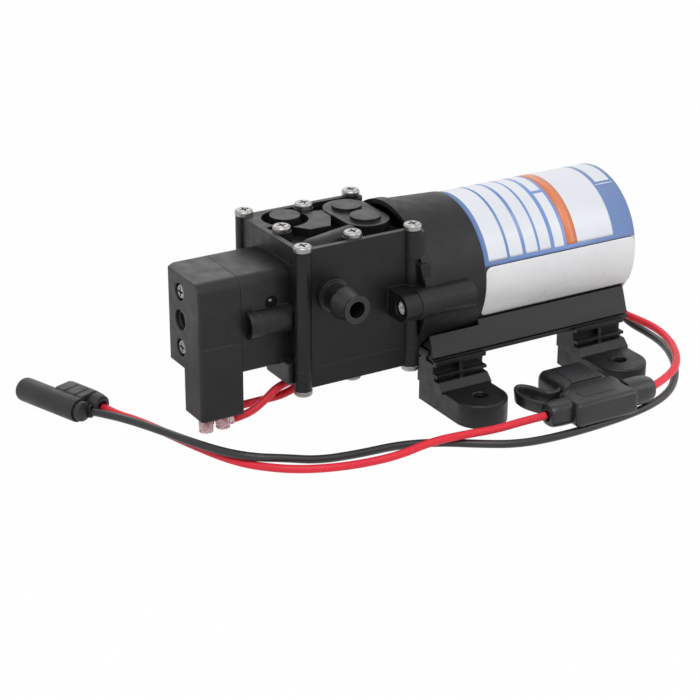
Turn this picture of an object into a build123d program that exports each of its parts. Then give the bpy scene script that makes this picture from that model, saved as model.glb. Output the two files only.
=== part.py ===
"""A 12 V diaphragm water pump for a caravan, with its leads, fuse holder and plug.

Millimetres. +X runs along the motor shaft from the pressure switch to the rear of the motor, +Z is up,
and the front of the pump, with the hose spigot that is seen first, faces -Y. The origin lies on the
floor, at the centre of the four foot holes.
"""
import os
from math import cos, pi, radians, sin, tan

from build123d import *

os.makedirs("parts", exist_ok=True)

# Driving dimensions of the whole pump
shaft_height = 40.6
foot_pitch_x = 58.0
foot_pitch_y = 76.0
head_length = 44.0
head_width = 40.0
head_right_x = -43.5
body_half_height = 17.5
top_head_height = 6.0
bottom_head_height = 7.0
motor_radius = 24.2
motor_length = 80.0
motor_front_x = -35.0

# Clearances shared by many fits
running_gap = 0.05
seat_gap = 0.05
moving_gap = 0.3
overrun = 1.0

head_left_x = head_right_x - head_length
head_x = (head_left_x + head_right_x) / 2
body_top = shaft_height + body_half_height
body_bottom = shaft_height - body_half_height
motor_rear_x = motor_front_x + motor_length

along_x = (1, 0, 0)
towards_switch = (-1, 0, 0)
frontwards = (0, -1, 0)
backwards = (0, 1, 0)
upwards = (0, 0, 1)
downwards = (0, 0, -1)


def turned(origin, direction, points):
    """A solid of revolution. Each point is (distance along the direction, radius)."""
    reference = along_x if abs(direction[2]) > abs(direction[0]) else upwards
    side = Vector(*direction).cross(Vector(*reference))
    with BuildPart() as piece:
        with BuildSketch(Plane(origin, x_dir=direction, z_dir=side)):
            with BuildLine():
                Polyline(*points, close=True)
            make_face()
        revolve(axis=Axis(origin, direction))
    return piece.part


def rod(origin, direction, length, radius):
    """A plain round bar or, subtracted, a plain hole."""
    return turned(origin, direction, [(0, 0), (length, 0), (length, radius), (0, radius)])


def tube(origin, direction, length, outer_radius, inner_radius):
    """A round ring of rectangular section."""
    section = [(0, inner_radius), (length, inner_radius), (length, outer_radius), (0, outer_radius)]
    return turned(origin, direction, section)


def block(low, high, edge_radius=0.0, edge_axis=Axis.Z):
    """A box between two corners, with its edges along one axis rounded."""
    with BuildPart() as piece:
        with BuildSketch(Plane.XY.offset(low[2])):
            with Locations(((low[0] + high[0]) / 2, (low[1] + high[1]) / 2)):
                Rectangle(high[0] - low[0], high[1] - low[1])
        extrude(amount=high[2] - low[2])
        if edge_radius:
            fillet(piece.edges().filter_by(edge_axis), radius=edge_radius)
    return piece.part


# Screws with pan heads and cross recesses
screw_head_radius = 3.05
screw_head_height = 1.9
screw_head_round = 0.9
screw_shank_radius = 1.45
screw_hole_radius = screw_shank_radius + running_gap
recess_width = 0.75
recess_span = 3.4
recess_depth = 1.1


def pan_screw(origin, direction, shank_length, head_radius=screw_head_radius,
              shank_radius=screw_shank_radius):
    """A pan-head screw whose head stands on the origin; the direction points out of the head."""
    with BuildPart() as screw:
        with BuildSketch(Plane(origin, z_dir=direction)):
            Circle(head_radius)
        extrude(amount=screw_head_height)
        fillet(screw.faces().sort_by(Axis(origin, direction))[-1].edges(), radius=screw_head_round)
        with BuildSketch(Plane(origin, z_dir=direction).offset(screw_head_height - recess_depth)):
            Rectangle(recess_span, recess_width)
            Rectangle(recess_width, recess_span)
        extrude(amount=recess_depth, mode=Mode.SUBTRACT)
        with BuildSketch(Plane(origin, z_dir=direction)):
            Circle(shank_radius)
        extrude(amount=-shank_length)
    return screw.part


# Plan of the pump head: a rounded block with a round screw column at each corner
column_pitch_x = 41.0
column_pitch_y = 39.2
column_radius = 2.9
plan_corner_radius = 1.2
mid_screw_y = 16.0
side_screw_x = -17.2
corner_places = [
    (head_x + sx * column_pitch_x / 2, sy * column_pitch_y / 2) for sx in (-1, 1) for sy in (-1, 1)
]
mid_places = [(head_x, -mid_screw_y), (head_x, mid_screw_y), (head_x + side_screw_x, 0)]
screw_places = corner_places + mid_places


def head_plan(height):
    """The outline that the body and both heads share."""
    with BuildSketch(Plane.XY.offset(height)) as plan:
        with Locations((head_x, 0)):
            RectangleRounded(head_length, head_width, plan_corner_radius)
        with Locations(*corner_places):
            Circle(column_radius)
    return plan.sketch


# Drive: eccentric, bearing and yoke inside the body
eccentric_throw = 1.0
bearing_bore_radius = 4.0
bearing_outer_radius = 6.5
bearing_width = 5.0
yoke_ring_radius = 8.4
yoke_width = 6.0
yoke_axis_height = shaft_height + eccentric_throw
drive_cavity_radius = yoke_ring_radius + eccentric_throw + moving_gap
piston_radius = 7.0
piston_thickness = 1.5
piston_cap_thickness = 1.0
stroke_bore_radius = 10.4
drive_cavity_depth = head_length / 2 + yoke_width / 2 + moving_gap + eccentric_throw

# Diaphragms and valve plates, measured up or down from the shaft
pocket_radius = 13.3
pocket_floor = 10.5
diaphragm_rim_thickness = 1.6
membrane_thickness = 1.0
membrane_level = pocket_floor + (diaphragm_rim_thickness - membrane_thickness) / 2
valve_plate_base = pocket_floor + diaphragm_rim_thickness
dish_depth = 3.4
valve_offset = 5.0
umbrella_radius = 3.6
umbrella_thickness = 0.8
valve_stem_radius = 0.9
flow_hole_radius = 0.8
flow_hole_ring = 2.2

# Hose spigots
spigot_offset_x = 9.9
spigot_x = head_x - spigot_offset_x
spigot_below_top = 10.7
spigot_height = body_top - spigot_below_top
spigot_socket_radius = 4.4
spigot_socket_depth = 6.0
spigot_channel_radius = 2.8
spigot_channel_depth = 3.0
spigot_flange_radius = 5.6
spigot_flange_thickness = 1.6
spigot_neck_radius = 4.5
spigot_neck_length = 6.6
barb_radius = 5.75
barb_land = 0.6
barb_cone_length = 6.0
tip_radius = 4.25
tip_lip_radius = 4.6
tip_lip_length = 0.9
seal_section_radius = 0.9

# Side screw bosses that clamp the motor to the head, level with the shaft
clamp_screw_y = 27.3
clamp_boss_radius = 4.7
clamp_boss_reach = 10.8
clamp_boss_left_x = head_right_x - clamp_boss_reach
clamp_boss_right_x = -27.0
clamp_head_recess = 2.6
clamp_head_radius = 2.5

# Screws that hold the pressure switch, level with the shaft
switch_screw_ys = (-13.5, 13.5)
switch_screw_height = 40.0
switch_screw_grip = 7.0
small_screw_radius = 1.2

# Pump body
screw_depth = 12.0
with BuildPart() as pump_body:
    extrude(head_plan(body_bottom), amount=2 * body_half_height)
    for side in (frontwards, backwards):
        boss_y = side[1] * clamp_screw_y
        add(rod((clamp_boss_left_x, boss_y, shaft_height), along_x,
                head_right_x - clamp_boss_left_x, clamp_boss_radius))
        web_low_y = min(boss_y, side[1] * head_width / 2)
        web_high_y = max(boss_y, side[1] * head_width / 2)
        add(block((clamp_boss_left_x, web_low_y, shaft_height - clamp_boss_radius),
                  (head_right_x, web_high_y, shaft_height + clamp_boss_radius)))
    # Drive cavity from the motor side and the two stroke bores
    add(rod((head_right_x, 0, shaft_height), towards_switch, drive_cavity_depth, drive_cavity_radius),
        mode=Mode.SUBTRACT)
    add(rod((head_x, 0, body_bottom), upwards, 2 * body_half_height, stroke_bore_radius),
        mode=Mode.SUBTRACT)
    pocket_depth = body_half_height - pocket_floor
    add(rod((head_x, 0, body_top), downwards, pocket_depth, pocket_radius), mode=Mode.SUBTRACT)
    add(rod((head_x, 0, body_bottom), upwards, pocket_depth, pocket_radius), mode=Mode.SUBTRACT)
    # Sockets and channels of the two hose spigots
    for side in (frontwards, backwards):
        face = (spigot_x, side[1] * head_width / 2, spigot_height)
        inwards = (0, -side[1], 0)
        add(rod(face, inwards, spigot_socket_depth, spigot_socket_radius), mode=Mode.SUBTRACT)
        add(rod(face, inwards, spigot_socket_depth + spigot_channel_depth, spigot_channel_radius),
            mode=Mode.SUBTRACT)
    # Clamp screws: a recess for the head and a hole right through the boss
    for y in (-clamp_screw_y, clamp_screw_y):
        boss_end = (clamp_boss_left_x, y, shaft_height)
        add(rod(boss_end, along_x, clamp_head_recess, clamp_head_radius + moving_gap), mode=Mode.SUBTRACT)
        add(rod(boss_end, along_x, head_right_x - clamp_boss_left_x, screw_hole_radius),
            mode=Mode.SUBTRACT)
    # Holes for the two screws that hold the pressure switch
    for y in switch_screw_ys:
        add(rod((head_left_x, y, switch_screw_height), along_x, switch_screw_grip + overrun,
                small_screw_radius + running_gap), mode=Mode.SUBTRACT)
    # Screw holes from above and below
    with Locations(*[(x, y, body_top) for x, y in screw_places]):
        Hole(screw_hole_radius, depth=screw_depth)
    with Locations(*[(x, y, body_bottom + screw_depth) for x, y in screw_places]):
        Hole(screw_hole_radius, depth=screw_depth)
pump_body.part.label = "pump_body"
export_step(pump_body.part, "parts/pump_body.step")


# Top head: a floor, a rim that is open towards the motor, and the passages that stand in it
top_floor_thickness = 2.2
recess_floor = body_top + top_floor_thickness
top_head_top = body_top + top_head_height
rim_width = 1.9
cap_radius = 5.1
cap_rise = 1.1
cap_height = top_head_top + cap_rise
cap_step = 1.1
cap_spread_y = 6.05
cap_shift_y = 2.85
inlet_cap_y = 10.2
inlet_cap_offset = 10.3
outlet_cap_offset = 12.5
inlet_cap_x = head_x - inlet_cap_offset
outlet_cap_x = head_x + outlet_cap_offset
inlet_cap = (inlet_cap_x, inlet_cap_y)
outlet_caps = [(outlet_cap_x, cap_shift_y + cap_spread_y), (outlet_cap_x, cap_shift_y - cap_spread_y)]
cap_flange_radius = 8.0
well_radius = 7.8
land_reach = 10.6
land_front_y = 5.0
screw_pad_radius = 3.3
duct_radius = 4.8
duct_start_offset = (-12.0, -11.5)
duct_end_offset = (5.0, -7.0)
duct_start = (head_x + duct_start_offset[0], duct_start_offset[1])
duct_end = (head_x + duct_end_offset[0], duct_end_offset[1])
plateau_offsets = [(-2.0, 13.4), (7.3, 10.4), (-0.5, -3.0), (-8.1, -2.6), (-11.7, 2.2)]
plateau_drop = 0.4
plateau_height = top_head_top - plateau_drop
passage_radius = 3.6
passage_depth = 2.6

with BuildPart() as top_head:
    extrude(head_plan(body_top), amount=recess_floor - body_top)
    extrude(head_plan(recess_floor), amount=top_head_top - recess_floor)
    with BuildSketch(Plane.XY.offset(recess_floor)) as recess:
        inner_width = head_width - 2 * rim_width
        recess_right_x = head_right_x + overrun
        recess_left_x = head_left_x + rim_width
        with Locations(((recess_left_x + recess_right_x) / 2, 0)):
            Rectangle(recess_right_x - recess_left_x, inner_width)
        with Locations(*corner_places):
            Circle(column_radius + seat_gap, mode=Mode.SUBTRACT)
        with Locations(*mid_places):
            Circle(screw_pad_radius, mode=Mode.SUBTRACT)
    extrude(amount=top_head_top - recess_floor + overrun, mode=Mode.SUBTRACT)
    # Flange under the two caps beside the motor, then the caps
    with BuildSketch(Plane.XY.offset(recess_floor)):
        with Locations((outlet_cap_x, cap_shift_y)):
            SlotCenterToCenter(2 * cap_spread_y, 2 * cap_flange_radius, rotation=90)
    extrude(amount=cap_height - cap_step - recess_floor)
    with BuildSketch(Plane.XY.offset(recess_floor)):
        with Locations(inlet_cap, *outlet_caps):
            Circle(cap_radius)
    extrude(amount=cap_height - recess_floor)
    # Broad flat passage beside the inlet cap, and the land in the corner behind it
    with BuildSketch(Plane.XY.offset(recess_floor)):
        with BuildLine():
            Polyline(*[(head_x + x, y) for x, y in plateau_offsets], close=True)
        make_face()
        with Locations(inlet_cap):
            Circle(well_radius, mode=Mode.SUBTRACT)
    extrude(amount=plateau_height - recess_floor)
    with BuildSketch(Plane.XY.offset(recess_floor)):
        land_back_y = head_width / 2 - rim_width + seat_gap
        land_left_x = recess_left_x - seat_gap
        with Locations((land_left_x + land_reach / 2, (land_front_y + land_back_y) / 2)):
            Rectangle(land_reach, land_back_y - land_front_y)
        with Locations(inlet_cap):
            Circle(well_radius, mode=Mode.SUBTRACT)
    extrude(amount=top_head_top - recess_floor)
    # Rounded duct that runs slantwise from the front corner
    duct = Vector(*duct_end) - Vector(*duct_start)
    duct_direction = (duct.normalized().X, duct.normalized().Y, 0)
    duct_axis_height = top_head_top - duct_radius
    with BuildPart(mode=Mode.PRIVATE) as duct_body:
        add(rod((duct_start[0], duct_start[1], duct_axis_height), duct_direction, duct.length, duct_radius))
        with Locations((duct_start[0], duct_start[1], duct_axis_height)):
            Sphere(duct_radius)
        split(bisect_by=Plane.XY.offset(recess_floor - seat_gap), keep=Keep.TOP)
    add(duct_body.part)
    # Passages under the caps, open towards the valve plate
    with BuildSketch(Plane.XY.offset(body_top)):
        with Locations(inlet_cap, *outlet_caps):
            Circle(passage_radius)
    extrude(amount=passage_depth, mode=Mode.SUBTRACT)
    with Locations(*[(x, y, top_head_top) for x, y in screw_places]):
        Hole(screw_hole_radius, depth=top_head_height)
top_head.part.label = "top_head"
export_step(top_head.part, "parts/top_head.step")

# Bottom head: plain outside, with stiffening ribs in its underside
bottom_head_bottom = body_bottom - bottom_head_height
bottom_recess_depth = 3.2
rib_thickness = 1.6
rib_pitch = 9.0
with BuildPart() as bottom_head:
    extrude(head_plan(bottom_head_bottom), amount=bottom_head_height)
    with BuildSketch(Plane.XY.offset(bottom_head_bottom)):
        with Locations((head_x, 0)):
            Rectangle(head_length - 2 * rim_width, head_width - 2 * rim_width)
            with GridLocations(rib_pitch, 0, 4, 1):
                Rectangle(rib_thickness, head_width, mode=Mode.SUBTRACT)
        with Locations(*corner_places):
            Circle(column_radius + seat_gap, mode=Mode.SUBTRACT)
        with Locations(*mid_places):
            Circle(screw_pad_radius, mode=Mode.SUBTRACT)
    extrude(amount=bottom_recess_depth, mode=Mode.SUBTRACT)
    with Locations(*[(x, y, body_bottom) for x, y in screw_places]):
        Hole(screw_hole_radius, depth=bottom_head_height)
bottom_head.part.label = "bottom_head"
export_step(bottom_head.part, "parts/bottom_head.step")

# Head screws
with BuildPart() as top_screws:
    for x, y in screw_places:
        add(pan_screw((x, y, top_head_top), upwards, top_head_height + screw_depth - overrun))
top_screws.part.label = "top_screws"
export_step(top_screws.part, "parts/top_screws.step")

with BuildPart() as bottom_screws:
    for x, y in screw_places:
        add(pan_screw((x, y, bottom_head_bottom), downwards, bottom_head_height + screw_depth - overrun))
bottom_screws.part.label = "bottom_screws"
export_step(bottom_screws.part, "parts/bottom_screws.step")


def valve_places(up):
    """Inlet valve under the web of its plate, outlet valve above it."""
    web_low = shaft_height + up * (valve_plate_base + dish_depth)
    web_high = shaft_height + up * (body_half_height - umbrella_thickness - seat_gap)
    return [(head_x - valve_offset, web_low, -up), (head_x + valve_offset, web_high, up)]


def valve_plate(up):
    """The plate above (up = 1) or below (up = -1) a diaphragm, with its pumping chamber."""
    seat = shaft_height + up * valve_plate_base
    outwards = (0, 0, up)
    thickness = body_half_height - valve_plate_base
    with BuildPart() as plate:
        add(rod((head_x, 0, seat), outwards, thickness, pocket_radius - running_gap))
        add(rod((head_x, 0, seat), outwards, dish_depth, stroke_bore_radius), mode=Mode.SUBTRACT)
        top = shaft_height + up * body_half_height
        add(rod((head_x + valve_offset, 0, top), (0, 0, -up), umbrella_thickness + seat_gap,
                umbrella_radius + moving_gap), mode=Mode.SUBTRACT)
        for valve_x, _, _ in valve_places(up):
            add(rod((valve_x, 0, seat), outwards, thickness, valve_stem_radius + running_gap),
                mode=Mode.SUBTRACT)
            for quarter in range(4):
                angle = radians(90 * quarter + 45)
                hole_x = valve_x + flow_hole_ring * cos(angle)
                hole_y = flow_hole_ring * sin(angle)
                add(rod((hole_x, hole_y, seat), outwards, thickness, flow_hole_radius),
                    mode=Mode.SUBTRACT)
    return plate.part


def umbrella_valves(up):
    """Two mushroom-shaped rubber valves, each with its stem through the plate."""
    web_thickness = body_half_height - valve_plate_base - dish_depth - umbrella_thickness - seat_gap
    with BuildPart() as valves:
        for valve_x, web_face, facing in valve_places(up):
            stem_end = -web_thickness - umbrella_thickness
            section = [(umbrella_thickness, 0), (umbrella_thickness, valve_stem_radius),
                       (seat_gap + umbrella_thickness / 2, umbrella_radius), (seat_gap, umbrella_radius),
                       (seat_gap, valve_stem_radius), (stem_end, valve_stem_radius), (stem_end, 0)]
            add(turned((valve_x, 0, web_face), (0, 0, facing), section))
    return valves.part


def diaphragm(up):
    """A rubber disc with a thick clamped rim; its middle is lifted with the yoke at rest."""
    low = pocket_floor
    high = pocket_floor + diaphragm_rim_thickness
    middle = membrane_level + up * eccentric_throw
    hole = screw_shank_radius + seat_gap
    flex_radius = piston_radius + moving_gap
    section = [(low, pocket_radius - seat_gap), (high, pocket_radius - seat_gap),
               (high, stroke_bore_radius - seat_gap), (middle + membrane_thickness, flex_radius),
               (middle + membrane_thickness, hole), (middle, hole), (middle, flex_radius),
               (low, stroke_bore_radius - seat_gap)]
    return turned((head_x, 0, shaft_height), (0, 0, up), section)


for up, level in ((1, "upper"), (-1, "lower")):
    plate = valve_plate(up)
    plate.label = level + "_valve_plate"
    export_step(plate, "parts/" + plate.label + ".step")
    valves = umbrella_valves(up)
    valves.label = level + "_valves"
    export_step(valves, "parts/" + valves.label + ".step")
    membrane = diaphragm(up)
    membrane.label = level + "_diaphragm"
    export_step(membrane, "parts/" + membrane.label + ".step")

# Yoke: a ring round the bearing with a piston above and below
with BuildPart() as yoke:
    ring_left_x = head_x - yoke_width / 2
    add(rod((ring_left_x, 0, yoke_axis_height), along_x, yoke_width, yoke_ring_radius))
    for up in (1, -1):
        piston_face = shaft_height + up * (membrane_level - seat_gap) + eccentric_throw
        add(rod((head_x, 0, piston_face), (0, 0, -up), piston_thickness, piston_radius))
        neck_length = abs(piston_face - yoke_axis_height)
        add(rod((head_x, 0, piston_face), (0, 0, -up), neck_length, yoke_width / 2))
    add(rod((ring_left_x, 0, yoke_axis_height), along_x, yoke_width, bearing_outer_radius + seat_gap),
        mode=Mode.SUBTRACT)
    for up in (1, -1):
        piston_face = shaft_height + up * (membrane_level - seat_gap) + eccentric_throw
        add(rod((head_x, 0, piston_face), (0, 0, -up), piston_thickness, screw_hole_radius),
            mode=Mode.SUBTRACT)
yoke.part.label = "yoke"
export_step(yoke.part, "parts/yoke.step")

with BuildPart() as eccentric_bearing:
    add(tube((head_x - bearing_width / 2, 0, yoke_axis_height), along_x, bearing_width,
             bearing_outer_radius, bearing_bore_radius))
eccentric_bearing.part.label = "eccentric_bearing"
export_step(eccentric_bearing.part, "parts/eccentric_bearing.step")

# Piston caps: a washer with its screw, above the upper and below the lower diaphragm
with BuildPart() as piston_caps:
    for up in (1, -1):
        cap_face = (shaft_height + up * (membrane_level + membrane_thickness + seat_gap)
                    + eccentric_throw)
        add(rod((head_x, 0, cap_face), (0, 0, up), piston_cap_thickness, piston_radius))
        screw_reach = membrane_thickness + 2 * seat_gap + piston_thickness
        add(rod((head_x, 0, cap_face), (0, 0, -up), screw_reach, screw_shank_radius))
piston_caps.part.label = "piston_caps"
export_step(piston_caps.part, "parts/piston_caps.step")


# Hose spigots, each sealed in its socket by a ring
shank_radius = spigot_socket_radius - running_gap
shank_length = spigot_socket_depth - moving_gap
neck_end = spigot_flange_thickness + spigot_neck_length
land_end = neck_end + barb_land
cone_end = land_end + barb_cone_length
spigot_reach = cone_end + tip_lip_length
groove_width = 2 * seal_section_radius
groove_depth = 1.2
groove_floor = shank_radius - groove_depth
groove_inset = 1.4
groove_start = groove_inset - shank_length
spigot_section = [
    (-shank_length, spigot_channel_radius), (-shank_length, shank_radius), (groove_start, shank_radius),
    (groove_start, groove_floor), (groove_start + groove_width, groove_floor),
    (groove_start + groove_width, shank_radius), (0, shank_radius), (0, spigot_flange_radius),
    (spigot_flange_thickness, spigot_flange_radius), (spigot_flange_thickness, spigot_neck_radius),
    (neck_end, spigot_neck_radius), (neck_end, barb_radius), (land_end, barb_radius),
    (cone_end, tip_radius), (cone_end, tip_lip_radius), (spigot_reach, tip_lip_radius),
    (spigot_reach, spigot_channel_radius),
]
for name, side in (("front", frontwards), ("rear", backwards)):
    face = (spigot_x, side[1] * head_width / 2, spigot_height)
    spigot = turned(face, side, spigot_section)
    spigot.label = name + "_spigot"
    export_step(spigot, "parts/" + spigot.label + ".step")

with BuildPart() as spigot_seals:
    for side in (frontwards, backwards):
        face = (spigot_x, side[1] * head_width / 2, spigot_height)
        seal_start = groove_start + seat_gap
        seal_end = groove_start + groove_width - seat_gap
        seal_section = [(seal_start, groove_floor + seat_gap), (seal_end, groove_floor + seat_gap),
                        (seal_end, shank_radius), (seal_start, shank_radius)]
        add(turned(face, side, seal_section))
spigot_seals.part.label = "spigot_seals"
export_step(spigot_seals.part, "parts/spigot_seals.step")

# Motor adapter: a moulded cup between head and motor that covers the front of the can
adapter_lip_radius = 26.4
adapter_lip_length = 3.4
adapter_wall = 1.7
adapter_front_radius = 25.8
adapter_rear_radius = 24.75
adapter_rear_x = -19.0
adapter_floor_thickness = 3.2
adapter_floor_x = motor_front_x - adapter_floor_thickness
adapter_hub_radius = 15.0
adapter_rib_reach = 3.0
wire_radius = 1.35
switch_wire_ends = [((-51.0, -6.6, 12.8), (-40.6, -6.6, 15.2)), ((-51.0, -3.3, 12.7), (-40.6, -3.3, 15.0))]
adapter_rib_share = 0.93
bearing_seat_radius = 9.0
can_seat_radius = motor_radius + seat_gap
adapter_bore_radius = drive_cavity_radius + moving_gap
adapter_saddle_share = 0.76
adapter_rib_thickness = 1.0

with BuildPart() as motor_adapter:
    lip_end_x = head_right_x + adapter_lip_length
    outline = [(0, 0), (0, adapter_lip_radius), (adapter_lip_length, adapter_lip_radius),
               (adapter_lip_length, adapter_front_radius),
               (adapter_rear_x - head_right_x, adapter_rear_radius), (adapter_rear_x - head_right_x, 0)]
    add(turned((head_right_x, 0, shaft_height), along_x, outline))
    for y in (-clamp_screw_y, clamp_screw_y):
        boss_length = clamp_boss_right_x - head_right_x - seat_gap
        add(rod((head_right_x + seat_gap, y, shaft_height), along_x, boss_length, clamp_boss_radius))
        low_y = min(y, y * adapter_saddle_share)
        high_y = max(y, y * adapter_saddle_share)
        add(block((head_right_x + seat_gap, low_y, shaft_height - clamp_boss_radius),
                  (clamp_boss_right_x, high_y, shaft_height + clamp_boss_radius)))
        rib_top = shaft_height - clamp_boss_radius - adapter_rib_thickness
        add(block((lip_end_x, low_y * adapter_rib_share, rib_top - adapter_rib_thickness),
                  (clamp_boss_right_x + adapter_rib_reach, high_y * adapter_rib_share, rib_top)))
    # Hollow towards the head, with a hub left standing, and the seat of the can behind
    hollow = [(0, adapter_hub_radius), (0, adapter_lip_radius - adapter_wall),
              (adapter_floor_x - head_right_x, adapter_front_radius - 2 * adapter_wall),
              (adapter_floor_x - head_right_x, adapter_hub_radius)]
    add(turned((head_right_x, 0, shaft_height), along_x, hollow), mode=Mode.SUBTRACT)
    add(rod((motor_front_x, 0, shaft_height), along_x, motor_length, can_seat_radius), mode=Mode.SUBTRACT)
    add(rod((head_right_x, 0, shaft_height), along_x, motor_length, adapter_bore_radius),
        mode=Mode.SUBTRACT)
    for y in (-clamp_screw_y, clamp_screw_y):
        add(rod((head_right_x, y, shaft_height), along_x, boss_length - overrun, screw_hole_radius),
            mode=Mode.SUBTRACT)
    # Mouths for the two wires of the pressure switch
    for run_start, run_end in switch_wire_ends:
        last_run = Vector(*run_end) - Vector(*run_start)
        add(rod(run_start, tuple(last_run.normalized()), last_run.length + seat_gap,
                wire_radius + seat_gap), mode=Mode.SUBTRACT)
    # Room for the two screw columns of the head that stand beside the cup
    for x, y in corner_places[2:]:
        add(rod((x, y, bottom_head_bottom), upwards, top_head_top - bottom_head_bottom,
                column_radius + moving_gap), mode=Mode.SUBTRACT)
motor_adapter.part.label = "motor_adapter"
export_step(motor_adapter.part, "parts/motor_adapter.step")

# Clamp screws through the bosses of the body into the adapter
with BuildPart() as clamp_screws:
    for y in (-clamp_screw_y, clamp_screw_y):
        seat = (clamp_boss_left_x + clamp_head_recess, y, shaft_height)
        reach = clamp_boss_right_x - seat[0] - 2 * overrun
        add(pan_screw(seat, towards_switch, reach, clamp_head_radius))
clamp_screws.part.label = "clamp_screws"
export_step(clamp_screws.part, "parts/clamp_screws.step")

# Motor: can, end plates, magnets and armature
can_wall = 1.8
end_plate_thickness = 2.0
rear_cap_thickness = 2.4
rear_boss_radius = 8.0
rear_boss_length = 3.0
shaft_radius = 2.5
front_bearing_radius = 6.5
front_bearing_width = 4.0
rear_bearing_radius = 6.0
rear_bearing_width = 4.0
can_inner_radius = motor_radius - can_wall
rear_cap_front_x = motor_rear_x - rear_cap_thickness
can_edge_round = 1.6
lead_exits = [(6.0, 22.0), (-3.0, 21.2)]
lead_hole_radius = 2.7
vent_slot_length = 7.0
vent_slot_width = 2.2
vent_ring_radius = 14.0
rail_screw_xs = (-6.0, 26.0)

with BuildPart() as motor_can:
    can_length = motor_length - rear_cap_thickness
    add(tube((motor_front_x, 0, shaft_height), along_x, can_length, motor_radius, can_inner_radius))
    for x in rail_screw_xs:
        add(rod((x, 0, 0), upwards, shaft_height, screw_hole_radius), mode=Mode.SUBTRACT)
motor_can.part.label = "motor_can"
export_step(motor_can.part, "parts/motor_can.step")

with BuildPart() as motor_front_plate:
    plate_low_x = motor_front_x
    bearing_face_x = motor_front_x + end_plate_thickness
    add(rod((plate_low_x, 0, shaft_height), along_x, end_plate_thickness, can_inner_radius - seat_gap))
    seat_length = front_bearing_width + end_plate_thickness / 2
    add(rod((bearing_face_x, 0, shaft_height), towards_switch, seat_length, bearing_seat_radius))
    add(rod((bearing_face_x, 0, shaft_height), towards_switch, front_bearing_width,
            front_bearing_radius + seat_gap), mode=Mode.SUBTRACT)
    add(rod((bearing_face_x, 0, shaft_height), towards_switch, seat_length, shaft_radius + moving_gap),
        mode=Mode.SUBTRACT)
motor_front_plate.part.label = "motor_front_plate"
export_step(motor_front_plate.part, "parts/motor_front_plate.step")

with BuildPart() as motor_rear_cap:
    add(rod((rear_cap_front_x, 0, shaft_height), along_x, rear_cap_thickness, motor_radius))
    fillet(motor_rear_cap.faces().sort_by(Axis.X)[-1].edges(), radius=can_edge_round)
    add(rod((rear_cap_front_x, 0, shaft_height), along_x, rear_cap_thickness + rear_boss_length,
            rear_boss_radius))
    fillet(motor_rear_cap.faces().sort_by(Axis.X)[-1].edges(), radius=can_edge_round)
    add(rod((rear_cap_front_x, 0, shaft_height), along_x, rear_bearing_width,
            rear_bearing_radius + seat_gap), mode=Mode.SUBTRACT)
    with BuildSketch(Plane((rear_cap_front_x, 0, shaft_height), x_dir=backwards, z_dir=along_x)):
        with PolarLocations(vent_ring_radius, 4, start_angle=45):
            SlotOverall(vent_slot_length, vent_slot_width, rotation=90)
    extrude(amount=rear_cap_thickness, mode=Mode.SUBTRACT)
    for y, z in lead_exits:
        add(rod((rear_cap_front_x, y, z), along_x, rear_cap_thickness, lead_hole_radius),
            mode=Mode.SUBTRACT)
motor_rear_cap.part.label = "motor_rear_cap"
export_step(motor_rear_cap.part, "parts/motor_rear_cap.step")

with BuildPart() as front_bearing:
    add(tube((bearing_face_x - front_bearing_width, 0, shaft_height), along_x, front_bearing_width,
             front_bearing_radius, shaft_radius + running_gap))
front_bearing.part.label = "front_bearing"
export_step(front_bearing.part, "parts/front_bearing.step")

with BuildPart() as rear_bearing:
    add(tube((rear_cap_front_x, 0, shaft_height), along_x, rear_bearing_width - seat_gap,
             rear_bearing_radius, shaft_radius + running_gap))
rear_bearing.part.label = "rear_bearing"
export_step(rear_bearing.part, "parts/rear_bearing.step")

magnet_thickness = 3.4
core_length = 34.0
magnet_overhang = 5.0
magnet_length = core_length + 2 * magnet_overhang
magnet_gap_angle = 50.0
armature_gap = 0.6
magnet_left_x = -26.0
magnet_outer_radius = can_inner_radius - seat_gap
magnet_inner_radius = magnet_outer_radius - magnet_thickness
armature_radius = magnet_inner_radius - armature_gap
with BuildPart() as field_magnets:
    with BuildSketch(Plane((magnet_left_x, 0, shaft_height), x_dir=backwards, z_dir=along_x)):
        Circle(magnet_outer_radius)
        Circle(magnet_inner_radius, mode=Mode.SUBTRACT)
        gap_height = 2 * magnet_outer_radius * sin(radians(magnet_gap_angle / 2))
        Rectangle(2 * magnet_outer_radius + overrun, gap_height, mode=Mode.SUBTRACT)
    extrude(amount=magnet_length)
field_magnets.part.label = "field_magnets"
export_step(field_magnets.part, "parts/field_magnets.step")

# Shaft, with the eccentric journal and its counterweight on the pump's end
armature_teeth = 8
core_left_x = magnet_left_x + magnet_overhang
tooth_gap = 2.4
tooth_root_radius = 8.6
tooth_tip_depth = 2.6
slot_depth_radius = armature_radius - tooth_tip_depth
winding_overhang = 5.0
commutator_radius = 6.0
commutator_length = 10.0
commutator_gap = 2.0
shaft_right_x = rear_cap_front_x + rear_bearing_width
shaft_left_x = head_x - bearing_width / 2 - running_gap
counterweight_radius = 7.0
counterweight_thickness = 3.4
counterweight_left_x = head_x + yoke_width / 2 + moving_gap

with BuildPart() as motor_shaft:
    shaft_length = shaft_right_x - shaft_left_x - moving_gap
    add(rod((shaft_left_x, 0, shaft_height), along_x, shaft_length, shaft_radius))
motor_shaft.part.label = "motor_shaft"
export_step(motor_shaft.part, "parts/motor_shaft.step")

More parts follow.
